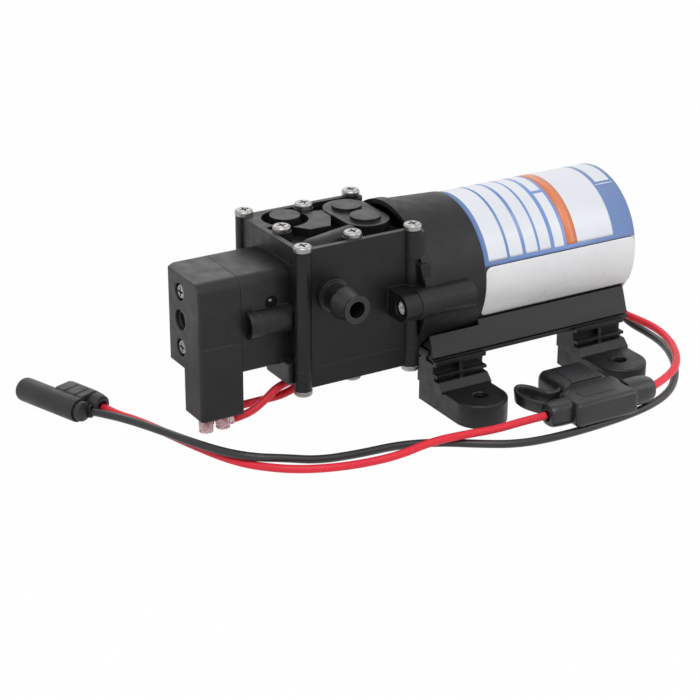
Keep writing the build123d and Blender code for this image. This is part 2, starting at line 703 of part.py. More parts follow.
with BuildPart() as eccentric:
    journal_length = counterweight_left_x - shaft_left_x
    add(rod((shaft_left_x, 0, yoke_axis_height), along_x, journal_length,
            bearing_bore_radius - running_gap))
    with BuildSketch(Plane((counterweight_left_x, 0, shaft_height), x_dir=backwards, z_dir=along_x)):
        Circle(counterweight_radius)
        with Locations((0, counterweight_radius / 2 + shaft_radius + 2 * eccentric_throw)):
            Rectangle(2 * counterweight_radius, counterweight_radius, mode=Mode.SUBTRACT)
    extrude(amount=counterweight_thickness)
    add(rod((shaft_left_x, 0, shaft_height), along_x, head_length, shaft_radius + seat_gap / 2),
        mode=Mode.SUBTRACT)
eccentric.part.label = "eccentric"
export_step(eccentric.part, "parts/eccentric.step")

with BuildPart() as armature_core:
    core_plane = Plane((core_left_x, 0, shaft_height), x_dir=backwards, z_dir=along_x)
    with BuildSketch(core_plane):
        Circle(armature_radius)
        with PolarLocations((armature_radius + slot_depth_radius) / 2, armature_teeth):
            Rectangle(2 * (armature_radius - slot_depth_radius), tooth_gap, mode=Mode.SUBTRACT)
        with PolarLocations((slot_depth_radius + tooth_root_radius) / 2, armature_teeth):
            Circle((slot_depth_radius - tooth_root_radius) / 2, mode=Mode.SUBTRACT)
        Circle(shaft_radius + seat_gap / 2, mode=Mode.SUBTRACT)
    extrude(amount=core_length)
armature_core.part.label = "armature_core"
export_step(armature_core.part, "parts/armature_core.step")

with BuildPart() as armature_winding:
    coil_radius = (slot_depth_radius - tooth_root_radius) / 2 - seat_gap
    coil_ring = (slot_depth_radius + tooth_root_radius) / 2
    with BuildSketch(core_plane.offset(-winding_overhang)):
        with PolarLocations(coil_ring, armature_teeth):
            Circle(coil_radius)
    extrude(amount=core_length + 2 * winding_overhang)
    for start_x in (core_left_x - winding_overhang, core_left_x + core_length + seat_gap):
        add(tube((start_x, 0, shaft_height), along_x, winding_overhang - seat_gap, coil_ring + coil_radius,
                 coil_ring - coil_radius))
armature_winding.part.label = "armature_winding"
export_step(armature_winding.part, "parts/armature_winding.step")

commutator_left_x = core_left_x + core_length + winding_overhang + commutator_gap
with BuildPart() as commutator:
    add(tube((commutator_left_x, 0, shaft_height), along_x, commutator_length, commutator_radius,
             shaft_radius + seat_gap / 2))
commutator.part.label = "commutator"
export_step(commutator.part, "parts/commutator.step")

# Brush ring behind the armature and its two carbon brushes
brush_ring_thickness = 2.0
brush_width = 4.0
brush_height = 6.0
brush_gap = 0.1
brush_outer_radius = 14.0
brush_ring_inner_radius = 9.0
brush_ring_x = commutator_left_x + (commutator_length - brush_height) / 2 - brush_ring_thickness
with BuildPart() as brush_ring:
    add(tube((brush_ring_x - seat_gap, 0, shaft_height), along_x, brush_ring_thickness,
             can_inner_radius - seat_gap, brush_ring_inner_radius))
    for y in (-1, 1):
        holder_low = min(y * brush_ring_inner_radius, y * (brush_outer_radius + can_wall))
        holder_high = max(y * brush_ring_inner_radius, y * (brush_outer_radius + can_wall))
        holder_half = brush_width / 2 + can_wall
        add(block((brush_ring_x - seat_gap, holder_low, shaft_height - holder_half),
                  (brush_ring_x + brush_ring_thickness + brush_height, holder_high,
                   shaft_height + holder_half)))
        brush_low = min(y * (commutator_radius + brush_gap), y * (brush_outer_radius + seat_gap))
        brush_high = max(y * (commutator_radius + brush_gap), y * (brush_outer_radius + seat_gap))
        add(block((brush_ring_x + brush_ring_thickness - seat_gap, brush_low,
                   shaft_height - brush_width / 2 - seat_gap),
                  (brush_ring_x + brush_ring_thickness + brush_height + overrun, brush_high,
                   shaft_height + brush_width / 2 + seat_gap)), mode=Mode.SUBTRACT)
brush_ring.part.label = "brush_ring"
export_step(brush_ring.part, "parts/brush_ring.step")

with BuildPart() as carbon_brushes:
    for y in (-1, 1):
        brush_low = min(y * (commutator_radius + brush_gap), y * brush_outer_radius)
        brush_high = max(y * (commutator_radius + brush_gap), y * brush_outer_radius)
        add(block((brush_ring_x + brush_ring_thickness, brush_low, shaft_height - brush_width / 2),
                  (brush_ring_x + brush_ring_thickness + brush_height, brush_high,
                   shaft_height + brush_width / 2)))
carbon_brushes.part.label = "carbon_brushes"
export_step(carbon_brushes.part, "parts/carbon_brushes.step")

# Pressure switch on the left of the head: a housing with the sensing piston, and a cover with the contacts
housing_length = 17.4
cover_length = 15.0
switch_half_width = 13.5
switch_top = 56.3
housing_bottom = 23.8
cover_bottom = 24.5
switch_corner_radius = 4.0
switch_edge_round = 1.0
cover_joint_x = head_left_x - housing_length
cover_end_x = cover_joint_x - cover_length
switch_membrane_radius = 11.0
switch_membrane_thickness = 1.5
sensing_bore_radius = 7.8
piston_head_radius = 7.4
piston_head_thickness = 2.0
piston_stem_radius = 2.5
piston_stem_length = 8.5
piston_face_x = head_left_x - switch_membrane_thickness - seat_gap
piston_x = piston_face_x - piston_head_thickness
tab_y = (-8.0, -4.0)
tab_bottom = 27.0
tab_finger_top = 31.0
tab_top = 36.6
tab_reach = 12.0
slot_gap = 0.6
neck_flange_thickness = 3.0
neck_flange_y = (-18.0, -3.0)
neck_flange_z = (17.9, 25.3)
switch_boss_radius = 4.7
switch_boss_start_x = -103.2
pit_radius = 5.5
pit_x = -104.0
pit_y = 14.5
pit_places = [(pit_x, -pit_y, switch_screw_height), (pit_x, pit_y, switch_screw_height)]
boss_seat_x = -98.0
boss_head_radius = 2.4
neck_screw_place = (-94.0, -13.5, 46.2)
neck_screw_recess_radius = 2.1
neck_screw_recess_depth = 1.6
neck_screw_depth = 5.0
cover_screw_offset = 9.6
cover_screw_grip = 8.0

with BuildPart() as switch_housing:
    add(block((cover_joint_x, -switch_half_width, housing_bottom),
              (head_left_x, switch_half_width, switch_top)))
    long_edges = switch_housing.edges().filter_by(Axis.X).group_by(Axis.Z)
    fillet(long_edges[-1], radius=switch_corner_radius)
    fillet(switch_housing.edges().filter_by(Axis.X).group_by(Axis.Z)[0], radius=switch_edge_round)
    for y in switch_screw_ys:
        add(rod((switch_boss_start_x, y, switch_screw_height), along_x,
                head_left_x - switch_boss_start_x, switch_boss_radius))
    add(block((head_left_x - neck_flange_thickness, neck_flange_y[0], neck_flange_z[0]),
              (head_left_x, neck_flange_y[1], neck_flange_z[1]), switch_edge_round, Axis.X))
    for x, y in corner_places[:2]:
        add(rod((x, y, 0), upwards, switch_top, column_radius + moving_gap), mode=Mode.SUBTRACT)
    add(rod((head_left_x, 0, shaft_height), towards_switch, switch_membrane_thickness,
            switch_membrane_radius), mode=Mode.SUBTRACT)
    add(rod((head_left_x, 0, shaft_height), towards_switch, housing_length, sensing_bore_radius),
        mode=Mode.SUBTRACT)
    add(block((cover_joint_x, tab_y[0] - slot_gap, tab_bottom - slot_gap),
              (head_left_x - switch_membrane_thickness, tab_y[1] + slot_gap, tab_top + slot_gap)),
        mode=Mode.SUBTRACT)
    with Locations(*pit_places):
        Sphere(pit_radius, mode=Mode.SUBTRACT)
    for y in switch_screw_ys:
        add(rod((boss_seat_x, y, switch_screw_height), towards_switch, boss_seat_x - pit_x,
                boss_head_radius + moving_gap), mode=Mode.SUBTRACT)
        add(rod((boss_seat_x, y, switch_screw_height), along_x, head_left_x - boss_seat_x,
                small_screw_radius + running_gap), mode=Mode.SUBTRACT)
    for step in (-1, 1):
        screw_z = shaft_height + step * cover_screw_offset
        add(rod((cover_joint_x, 0, screw_z), along_x, cover_screw_grip + overrun,
                small_screw_radius + running_gap), mode=Mode.SUBTRACT)
    add(rod(neck_screw_place, backwards, neck_screw_recess_depth, neck_screw_recess_radius),
        mode=Mode.SUBTRACT)
    add(rod(neck_screw_place, backwards, neck_screw_depth, small_screw_radius + running_gap),
        mode=Mode.SUBTRACT)
switch_housing.part.label = "switch_housing"
export_step(switch_housing.part, "parts/switch_housing.step")

# Small slotted screw in the front face of the neck
with BuildPart() as neck_screw:
    seat = (neck_screw_place[0], neck_screw_place[1] + neck_screw_recess_depth, neck_screw_place[2])
    neck_head_radius = neck_screw_recess_radius - moving_gap
    neck_head_height = neck_screw_recess_depth - moving_gap
    add(rod(seat, frontwards, neck_head_height, neck_head_radius))
    shank = neck_screw_depth - neck_screw_recess_depth - moving_gap
    add(rod(seat, backwards, shank, small_screw_radius))
    neck_slot_width = 0.6
    add(block((seat[0] - neck_head_radius, seat[1] - neck_head_height, seat[2] - neck_slot_width / 2),
              (seat[0] + neck_head_radius, seat[1] - neck_head_height / 2,
               seat[2] + neck_slot_width / 2)), mode=Mode.SUBTRACT)

# Cover: a deep cap over the spring and its adjuster, with a tail that holds the microswitch
tail_y = (-switch_half_width, -2.0)
tail_bottom = 9.6
cover_chamfer_x = 6.9
cover_chamfer_y = 5.5
cover_front_round = 1.5
tail_step = 0.4
tail_step_height = 34.6
cover_screw_recess = 3.0
cover_screw_recess_depth = 2.2
cover_screw_head = 2.6
spring_pocket_radius = 7.6
spring_pocket_depth = 6.8
adjuster_radius = 2.95
adjuster_mouth_radius = 3.5
adjuster_mouth_depth = 1.4
contact_pocket_x = (-118.4, cover_joint_x)
contact_pocket_y = (-11.0, -3.2)
contact_pocket_z = (11.0, 31.6)
terminal_xs = (-115.7, -109.6)
terminal_y = -8.0
terminal_slot = (2.4, 5.2)

with BuildPart() as switch_cover:
    with BuildSketch(Plane.XY.offset(cover_bottom)):
        with BuildLine():
            Polyline((cover_joint_x, -switch_half_width), (cover_joint_x, switch_half_width),
                     (cover_end_x + cover_chamfer_x, switch_half_width),
                     (cover_end_x, switch_half_width - cover_chamfer_y),
                     (cover_end_x, -switch_half_width), close=True)
        make_face()
    extrude(amount=switch_top - cover_bottom)
    long_edges = switch_cover.edges().filter_by(Axis.X).group_by(Axis.Z)
    fillet(long_edges[-1], radius=switch_corner_radius)
    add(block((cover_end_x, tail_y[0], tail_bottom), (cover_joint_x, tail_y[1], cover_bottom)))
    add(block((cover_end_x, tail_y[0] - tail_step, tail_bottom),
              (cover_joint_x, tail_y[0], tail_step_height)))
    front_edges = switch_cover.edges().filter_by(Axis.Z).group_by(Axis.Y)[0].sort_by(Axis.X)
    fillet(front_edges[0], radius=cover_front_round)
    add(rod((cover_joint_x, 0, shaft_height), towards_switch, spring_pocket_depth, spring_pocket_radius),
        mode=Mode.SUBTRACT)
    add(rod((cover_joint_x, 0, shaft_height), towards_switch, cover_length,
            adjuster_radius + running_gap), mode=Mode.SUBTRACT)
    add(rod((cover_end_x, 0, shaft_height), along_x, adjuster_mouth_depth, adjuster_mouth_radius),
        mode=Mode.SUBTRACT)
    add(block((contact_pocket_x[0], contact_pocket_y[0], contact_pocket_z[0]),
              (contact_pocket_x[1], contact_pocket_y[1], contact_pocket_z[1])), mode=Mode.SUBTRACT)
    for x in terminal_xs:
        with Locations((x, terminal_y, tail_bottom)):
            Box(terminal_slot[0], terminal_slot[1], contact_pocket_z[0] - tail_bottom,
                align=(Align.CENTER, Align.CENTER, Align.MIN), mode=Mode.SUBTRACT)
    for step in (-1, 1):
        screw_z = shaft_height + step * cover_screw_offset
        add(rod((cover_end_x, 0, screw_z), along_x, cover_screw_recess_depth, cover_screw_recess),
            mode=Mode.SUBTRACT)
        add(rod((cover_end_x, 0, screw_z), along_x, cover_length, small_screw_radius + running_gap),
            mode=Mode.SUBTRACT)
    with Locations(*pit_places):
        Sphere(pit_radius, mode=Mode.SUBTRACT)
switch_cover.part.label = "switch_cover"
export_step(switch_cover.part, "parts/switch_cover.step")

cover_screw_shank = cover_length - cover_screw_recess_depth + cover_screw_grip
with BuildPart() as cover_screws:
    for step in (-1, 1):
        seat = (cover_end_x + cover_screw_recess_depth, 0, shaft_height + step * cover_screw_offset)
        add(pan_screw(seat, towards_switch, cover_screw_shank, cover_screw_head,
                      small_screw_radius))
cover_screws.part.label = "cover_screws"
export_step(cover_screws.part, "parts/cover_screws.step")

with BuildPart() as switch_screws:
    add(neck_screw.part)
    for y in switch_screw_ys:
        shank = head_left_x - boss_seat_x + switch_screw_grip
        add(pan_screw((boss_seat_x, y, switch_screw_height), towards_switch, shank, boss_head_radius,
                      small_screw_radius))
switch_screws.part.label = "switch_screws"
export_step(switch_screws.part, "parts/switch_screws.step")

# Inside the switch: membrane, sensing piston with its finger, spring, spring seat and adjuster
with BuildPart() as switch_membrane:
    add(rod((head_left_x, 0, shaft_height), towards_switch, switch_membrane_thickness,
            switch_membrane_radius - seat_gap))
switch_membrane.part.label = "switch_membrane"
export_step(switch_membrane.part, "parts/switch_membrane.step")

with BuildPart() as sensing_piston:
    add(rod((piston_face_x, 0, shaft_height), towards_switch, piston_head_thickness,
            piston_head_radius))
    add(rod((piston_face_x, 0, shaft_height), towards_switch, piston_head_thickness
            + piston_stem_length, piston_stem_radius))
    add(block((piston_x, tab_y[0], tab_bottom), (piston_face_x, tab_y[1], tab_top)))
    add(block((piston_x - tab_reach, tab_y[0], tab_bottom), (piston_face_x, tab_y[1], tab_finger_top)))
sensing_piston.part.label = "sensing_piston"
export_step(sensing_piston.part, "parts/sensing_piston.step")

seat_disc_radius = 7.2
seat_disc_thickness = 1.5
seat_disc_x = -107.9
adjuster_length = 8.0
adjuster_hex_radius = 1.6
adjuster_hex_depth = 3.0
with BuildPart() as spring_seat:
    add(rod((seat_disc_x, 0, shaft_height), towards_switch, seat_disc_thickness, seat_disc_radius))
spring_seat.part.label = "spring_seat"
export_step(spring_seat.part, "parts/spring_seat.step")

with BuildPart() as adjuster_screw:
    adjuster_x = seat_disc_x - seat_disc_thickness - seat_gap
    add(rod((adjuster_x, 0, shaft_height), towards_switch, adjuster_length, adjuster_radius))
    adjuster_end = Plane((adjuster_x - adjuster_length, 0, shaft_height), x_dir=backwards, z_dir=along_x)
    with BuildSketch(adjuster_end):
        RegularPolygon(adjuster_hex_radius, 6)
    extrude(amount=adjuster_hex_depth, mode=Mode.SUBTRACT)
adjuster_screw.part.label = "adjuster_screw"
export_step(adjuster_screw.part, "parts/adjuster_screw.step")

spring_radius = 5.5
spring_wire_radius = 0.5
spring_turns = 5
with BuildPart() as pressure_spring:
    free_length = piston_x - seat_disc_x - 2 * seat_gap
    coil_height = free_length - 2 * spring_wire_radius
    coil_start = piston_x - seat_gap - spring_wire_radius
    with BuildLine() as coil:
        Helix(coil_height / spring_turns, coil_height, spring_radius, center=(coil_start, 0, shaft_height),
              direction=towards_switch)
    with BuildSketch(Plane(origin=coil.line @ 0, z_dir=coil.line % 0)):
        Circle(spring_wire_radius)
    sweep(path=coil.line)
pressure_spring.part.label = "pressure_spring"
export_step(pressure_spring.part, "parts/pressure_spring.step")

# Microswitch with two flat terminals, its button, and the soft sleeves over the terminals
micro_x = (-117.6, -107.0)
micro_y = (-10.2, -3.7)
micro_z = (12.4, 30.6)
button_y = (-7.2, -5.6)
button_z = (28.1, 29.9)
button_length = 5.4
button_gap = 0.15
button_cavity = 3.0
terminal_thickness = 0.6
terminal_width = 4.0
terminal_end_height = 6.4
micro_hole_radius = 1.1
micro_hole_pitch = 9.5
button_tip_x = piston_x - tab_reach - seat_gap

with BuildPart() as microswitch:
    add(block((micro_x[0], micro_y[0], micro_z[0]), (micro_x[1], micro_y[1], micro_z[1])))
    micro_middle_x = (micro_x[0] + micro_x[1]) / 2
    micro_middle_z = (micro_z[0] + micro_z[1]) / 2
    for step in (-1, 1):
        add(rod((micro_middle_x, micro_y[0], micro_middle_z + step * micro_hole_pitch / 2), backwards,
                micro_y[1] - micro_y[0], micro_hole_radius), mode=Mode.SUBTRACT)
    add(block((micro_x[1] - button_cavity, button_y[0] - button_gap, button_z[0] - button_gap),
              (micro_x[1], button_y[1] + button_gap, button_z[1] + button_gap)), mode=Mode.SUBTRACT)
    for x in terminal_xs:
        add(block((x - terminal_thickness / 2, terminal_y - terminal_width / 2, terminal_end_height),
                  (x + terminal_thickness / 2, terminal_y + terminal_width / 2, micro_z[0])))
microswitch.part.label = "microswitch"
export_step(microswitch.part, "parts/microswitch.step")

with BuildPart() as microswitch_button:
    add(block((button_tip_x - button_length, button_y[0], button_z[0]),
              (button_tip_x, button_y[1], button_z[1])))
microswitch_button.part.label = "microswitch_button"
export_step(microswitch_button.part, "parts/microswitch_button.step")


# Mounting rail under the motor: a cradle with a channel along each side for the feet. The section is
# drawn for one side as (distance from the middle, height).
rail_front_x = -38.5
rail_rear_x = rear_cap_front_x
rail_bottom = 16.2
rail_middle_bottom = 13.4
rail_middle_half_width = 12.0
rail_outer_section = [(0, rail_middle_bottom), (rail_middle_half_width, rail_middle_bottom),
                      (rail_middle_half_width, rail_bottom), (24.1, rail_bottom), (24.1, 17.4),
                      (22.5, 17.4), (22.5, 18.0), (23.9, 18.0), (20.5, 26.9), (0, 26.9)]
channel_mouth = (16.6, 20.4)
channel_width = (15.4, 21.4)
channel_floor = 17.8
channel_roof = 20.1
cradle_front_radius = 26.2
rail_screw_grip = 1.4


def section_plane(x):
    """A plane across the motor shaft with local x along +Y and local y up."""
    return Plane((x, 0, 0), x_dir=backwards, z_dir=along_x)


def mirrored_section(points, side):
    """Points of one side moved to the front (side = -1) or the back (side = 1)."""
    return [(side * d, z) for d, z in points]


with BuildPart() as mounting_rail:
    rail_length = rail_rear_x - rail_front_x
    with BuildSketch(section_plane(rail_front_x)):
        for side in (-1, 1):
            with BuildLine():
                Polyline(*mirrored_section(rail_outer_section, side), close=True)
            make_face()
        for side in (-1, 1):
            for low, high in ((rail_bottom - overrun, channel_floor), (channel_floor, channel_roof)):
                inner, outer = channel_mouth if low < channel_floor else channel_width
                with Locations((side * (inner + outer) / 2, (low + high) / 2)):
                    Rectangle(outer - inner, high - low, mode=Mode.SUBTRACT)
    extrude(amount=rail_length)
    add(rod((rail_front_x, 0, shaft_height), along_x, rail_length, motor_radius + running_gap),
        mode=Mode.SUBTRACT)
    add(rod((rail_front_x, 0, shaft_height), along_x, adapter_rear_x + moving_gap - rail_front_x,
            cradle_front_radius), mode=Mode.SUBTRACT)
    for x in rail_screw_xs:
        add(rod((x, 0, rail_middle_bottom), upwards, rail_bottom, screw_hole_radius), mode=Mode.SUBTRACT)
mounting_rail.part.label = "mounting_rail"
export_step(mounting_rail.part, "parts/mounting_rail.step")

with BuildPart() as rail_screws:
    for x in rail_screw_xs:
        can_bottom = shaft_height - motor_radius
        shank = can_bottom - rail_middle_bottom + rail_screw_grip
        add(pan_screw((x, 0, rail_middle_bottom), downwards, shank))
rail_screws.part.label = "rail_screws"
export_step(rail_screws.part, "parts/rail_screws.step")

# Rubber feet: each hangs in a channel of the rail by a T-shaped head
foot_half_length = 10.0
foot_base_half_width = 9.3
foot_base_height = 8.2
foot_inner = 15.0
foot_hole_radius = 2.3
foot_hole_sink_radius = 4.2
foot_hole_sink_depth = 0.8
foot_round = 0.8
foot_web_thickness = 1.2
foot_web_section = [(24.3, 10.5), (26.8, 10.5), (26.1, 16.0), (24.6, 16.0)]
foot_section = [(foot_inner, foot_base_height - overrun), (foot_inner, rail_bottom), (16.9, rail_bottom),
                (16.9, 18.0), (15.7, 18.0), (15.7, 19.9), (21.1, 19.9), (21.1, 18.0), (20.1, 18.0),
                (20.1, rail_bottom), (24.4, rail_bottom), (24.4, 17.4), (26.3, 17.4), (26.3, 15.9),
                (24.4, 15.4), (24.3, 12.8), (27.0, 12.8), (27.0, 11.8), (25.2, 11.8), (25.2, 10.5),
                (27.6, 10.5), (30.0, foot_base_height), (30.0, foot_base_height - overrun)]
foot_names = {(-1, -1): "foot_front_left", (-1, 1): "foot_front_right",
              (1, -1): "foot_rear_left", (1, 1): "foot_rear_right"}


def rubber_foot(centre_x, side):
    """A foot at one side, with its base rounded about the fixing hole."""
    hole_d = foot_pitch_y / 2
    with BuildPart() as foot:
        with BuildSketch(Plane.XY):
            with Locations((centre_x, side * (foot_inner + hole_d) / 2)):
                Rectangle(2 * foot_base_half_width, hole_d - foot_inner)
            with Locations((centre_x, side * hole_d)):
                Circle(foot_base_half_width)
        extrude(amount=foot_base_height)
        rim = foot.faces().sort_by(Axis.Z)[-1].edges()
        fillet(rim, radius=foot_round)
        with BuildSketch(section_plane(centre_x - foot_half_length)):
            with BuildLine():
                Polyline(*mirrored_section(foot_section, side), close=True)
            make_face()
        extrude(amount=2 * foot_half_length)
        with BuildSketch(section_plane(centre_x - foot_web_thickness / 2)):
            with BuildLine():
                Polyline(*mirrored_section(foot_web_section, side), close=True)
            make_face()
        extrude(amount=foot_web_thickness)
        with Locations((centre_x, side * hole_d, foot_base_height)):
            CounterBoreHole(foot_hole_radius, foot_hole_sink_radius, foot_hole_sink_depth,
                            foot_base_height)
    return foot.part


for (side, step), name in foot_names.items():
    foot = rubber_foot(step * foot_pitch_x / 2, side)
    foot.label = name
    export_step(foot, "parts/" + name + ".step")


# Soft sleeves over the two terminals of the switch: a closed cup with a short side mouth for its wire
sleeve_radius = 2.4
sleeve_inner_radius = 2.1
sleeve_top = 9.4
sleeve_bottom = 3.7
sleeve_floor = 0.8
sleeve_mouth_length = 3.4
sleeve_mouth_height = 5.6
wire_exit_directions = [(0.75, 0.6614, 0), (1, 0, 0)]
with BuildPart() as terminal_sleeves:
    for x, exit_direction in zip(terminal_xs, wire_exit_directions):
        add(rod((x, terminal_y, sleeve_bottom), upwards, sleeve_top - sleeve_bottom, sleeve_radius))
        add(rod((x, terminal_y, sleeve_mouth_height), exit_direction, sleeve_mouth_length,
                wire_radius + moving_gap))
        add(rod((x, terminal_y, sleeve_bottom + sleeve_floor), upwards, sleeve_top,
                sleeve_inner_radius), mode=Mode.SUBTRACT)
terminal_sleeves.part.label = "terminal_sleeves"
export_step(terminal_sleeves.part, "parts/terminal_sleeves.step")


# Cords. Each route is a list of control points; the tube follows straight runs joined by arcs, and
# every arc uses this share of the shorter run beside it.
arc_run_share = 0.45


def bend_radii(points):
    """Radius of the arc at every inner point of a route."""
    radii = []
    for before, here, after in zip(points, points[1:], points[2:]):
        entering = Vector(*here) - Vector(*before)
        leaving = Vector(*after) - Vector(*here)
        half_turn = radians(entering.get_angle(leaving)) / 2
        radii.append(arc_run_share * min(entering.length, leaving.length) / tan(half_turn))
    return radii


def cord_tube(name, points):
    """A round cord along a route, with its smallest bend printed."""
    radii = bend_radii(points)
    with BuildPart() as cord:
        with BuildLine() as route:
            FilletPolyline(*points, radius=radii)
        with BuildSketch(Plane(origin=route.line @ 0, z_dir=route.line % 0)):
            Circle(wire_radius)
        sweep(path=route.line)
    length = sum(edge.length for edge in route.line.edges())
    filled = cord.part.volume / (pi * wire_radius ** 2 * length)
    print(name, "length", round(length, 1), "smallest bend", round(min(radii), 1), "fill", round(filled, 4))
    return cord.part


switch_wire_routes = [
    [(-106.1, -8.0, 5.6), (-100.3, -8.0, 5.9), (-94.4, -7.8, 9.0), (-88.4, -7.4, 13.4), (-79.0, -7.0, 14.1),
     (-65.0, -6.6, 13.6), *switch_wire_ends[0]],
    [(-113.08, -5.69, 5.6), (-107.9, -1.14, 5.6), (-99.7, -0.6, 5.9), (-92.0, -2.6, 7.0),
     (-84.5, -3.1, 7.2), (-75.0, -3.2, 10.6), (-63.0, -3.3, 13.2), *switch_wire_ends[1]],
]
black_route = [
    (43.0, 6.0, 22.0), (50.5, 6.0, 19.5), (56.0, 5.0, 14.0), (58.2, 2.5, 7.5), (60.6, -3.5, 2.8),
    (62.8, -12.0, 1.4), (61.0, -24.0, 1.4), (54.8, -37.0, 1.4), (46.0, -48.3, 1.4), (35.7, -57.2, 1.4),
    (22.0, -62.6, 1.4), (3.0, -65.2, 1.4), (-17.4, -65.6, 1.4), (-31.5, -63.4, 1.4), (-42.1, -57.0, 1.4),
    (-52.3, -49.6, 1.4), (-64.6, -44.6, 1.4), (-79.0, -43.6, 1.4), (-92.6, -41.0, 1.4),
    (-102.9, -37.5, 3.2), (-112.3, -34.1, 4.4), (-118.9, -25.9, 4.5), (-124.0, -15.3, 4.5),
    (-128.6, -3.5, 4.5), (-133.0, 7.7, 4.3), (-137.3, 18.0, 3.7), (-142.3, 26.08, 3.3),
]
red_motor_route = [
    (43.0, -3.0, 22.1), (48.4, -2.6, 17.8), (51.6, -4.2, 13.0), (53.4, -8.8, 9.8), (55.4, -14.6, 9.2),
    (56.9, -21.5, 8.7), (56.4, -29.0, 8.1), (53.0, -38.5, 7.6), (46.0, -48.8, 7.3), (36.0, -56.4, 7.3),
    (25.3, -60.2, 7.2),
]
red_plug_route = [
    (-18.5, -60.4, 7.2), (-26.1, -59.1, 6.6), (-35.7, -57.3, 5.2), (-46.0, -54.2, 4.5), (-57.8, -53.0, 4.4),
    (-69.8, -53.1, 2.7), (-79.5, -50.5, 1.4), (-91.0, -48.1, 1.4), (-102.0, -43.3, 1.4), (-111.0, -35.5, 1.4),
    (-116.4, -27.5, 1.4), (-120.2, -17.5, 1.4), (-123.6, -6.2, 1.4), (-126.6, 5.0, 1.4), (-129.8, 13.5, 1.8),
    (-135.2, 20.0, 3.0), (-136.69, 26.0, 3.3),
]
with BuildPart() as switch_wires:
    for number, route_points in enumerate(switch_wire_routes):
        add(cord_tube("switch wire " + str(number + 1), route_points))
switch_wires.part.label = "switch_wires"
export_step(switch_wires.part, "parts/switch_wires.step")

for name, route_points in (("black_lead", black_route), ("red_lead_motor", red_motor_route),
                           ("red_lead_plug", red_plug_route)):
    lead = cord_tube(name, route_points)
    lead.label = name
    export_step(lead, "parts/" + name + ".step")

# Fuse holder, resting on the black lead: a base with two wire collars, a cap and a strap between them
fuse_floor = 2.8
fuse_base_x = (-10.8, 13.4)
fuse_base_y = (-67.4, -52.6)
fuse_base_height = 8.8
fuse_axis_height = fuse_floor + fuse_base_height / 2
fuse_collar_y = -60.3
fuse_collar_radius = 4.1
fuse_collar_tip_radius = 3.4
fuse_collar_left_length = 7.4
fuse_collar_right_length = 11.4
fuse_edge_round = 1.4
fuse_tongue_x = (-7.8, 10.4)
fuse_tongue_length = 6.0
fuse_tongue_half_height = 2.6
blade_xs = (-3.4, 6.0)
blade_width = 5.2
blade_thickness = 0.7
blade_depth = 10.0
blade_clearance = 0.15
cap_y = (fuse_base_y[1] + running_gap, -36.5)
cap_back_radius = 6.0
cap_wall = 1.5
cap_step_down = 0.4
tongue_end_y = fuse_base_y[1] + fuse_tongue_length

with BuildPart() as fuse_base:
    add(block((fuse_base_x[0], fuse_base_y[0], fuse_floor),
              (fuse_base_x[1], fuse_base_y[1], fuse_floor + fuse_base_height), fuse_edge_round))
    add(block((fuse_tongue_x[0], fuse_base_y[1], fuse_axis_height - fuse_tongue_half_height),
              (fuse_tongue_x[1], tongue_end_y, fuse_axis_height + fuse_tongue_half_height)))
    for face_x, direction, length in ((fuse_base_x[0], towards_switch, fuse_collar_left_length),
                                      (fuse_base_x[1], along_x, fuse_collar_right_length)):
        start = (face_x - direction[0] * fuse_edge_round, fuse_collar_y, fuse_axis_height)
        reach = length + fuse_edge_round
        collar = [(0, 0), (0, fuse_collar_radius), (reach / 2, fuse_collar_radius),
                  (reach, fuse_collar_tip_radius), (reach, 0)]
        add(turned(start, direction, collar))
    for x in blade_xs:
        add(block((x - blade_width / 2 - blade_clearance, tongue_end_y - blade_depth - blade_clearance,
                   fuse_axis_height - blade_thickness / 2 - blade_clearance),
                  (x + blade_width / 2 + blade_clearance, tongue_end_y,
                   fuse_axis_height + blade_thickness / 2 + blade_clearance)), mode=Mode.SUBTRACT)
fuse_base.part.label = "fuse_base"
export_step(fuse_base.part, "parts/fuse_base.step")

fuse_body_x = (-7.6, 10.2)
fuse_body_length = 7.6
fuse_body_y = (tongue_end_y + seat_gap, tongue_end_y + fuse_body_length)
fuse_body_half_height = 2.2
with BuildPart() as blade_fuse:
    add(block((fuse_body_x[0], fuse_body_y[0], fuse_axis_height - fuse_body_half_height),
              (fuse_body_x[1], fuse_body_y[1], fuse_axis_height + fuse_body_half_height)))
    for x in blade_xs:
        add(block((x - blade_width / 2, tongue_end_y - blade_depth, fuse_axis_height - blade_thickness / 2),
                  (x + blade_width / 2, fuse_body_y[0], fuse_axis_height + blade_thickness / 2)))
blade_fuse.part.label = "blade_fuse"
export_step(blade_fuse.part, "parts/blade_fuse.step")

with BuildPart() as fuse_cap:
    cap_low = fuse_floor + cap_step_down
    cap_high = fuse_floor + fuse_base_height - cap_step_down
    add(block((fuse_base_x[0], cap_y[0], cap_low), (fuse_base_x[1], cap_y[1], cap_high)))
    back_edges = fuse_cap.edges().filter_by(Axis.Z).group_by(Axis.Y)[-1]
    fillet(back_edges, radius=cap_back_radius)
    add(block((fuse_tongue_x[0] - moving_gap, cap_y[0], fuse_axis_height - fuse_tongue_half_height
               - moving_gap),
              (fuse_tongue_x[1] + moving_gap, cap_y[1] - cap_wall, fuse_axis_height
               + fuse_tongue_half_height + moving_gap)), mode=Mode.SUBTRACT)
fuse_cap.part.label = "fuse_cap"
export_step(fuse_cap.part, "parts/fuse_cap.step")

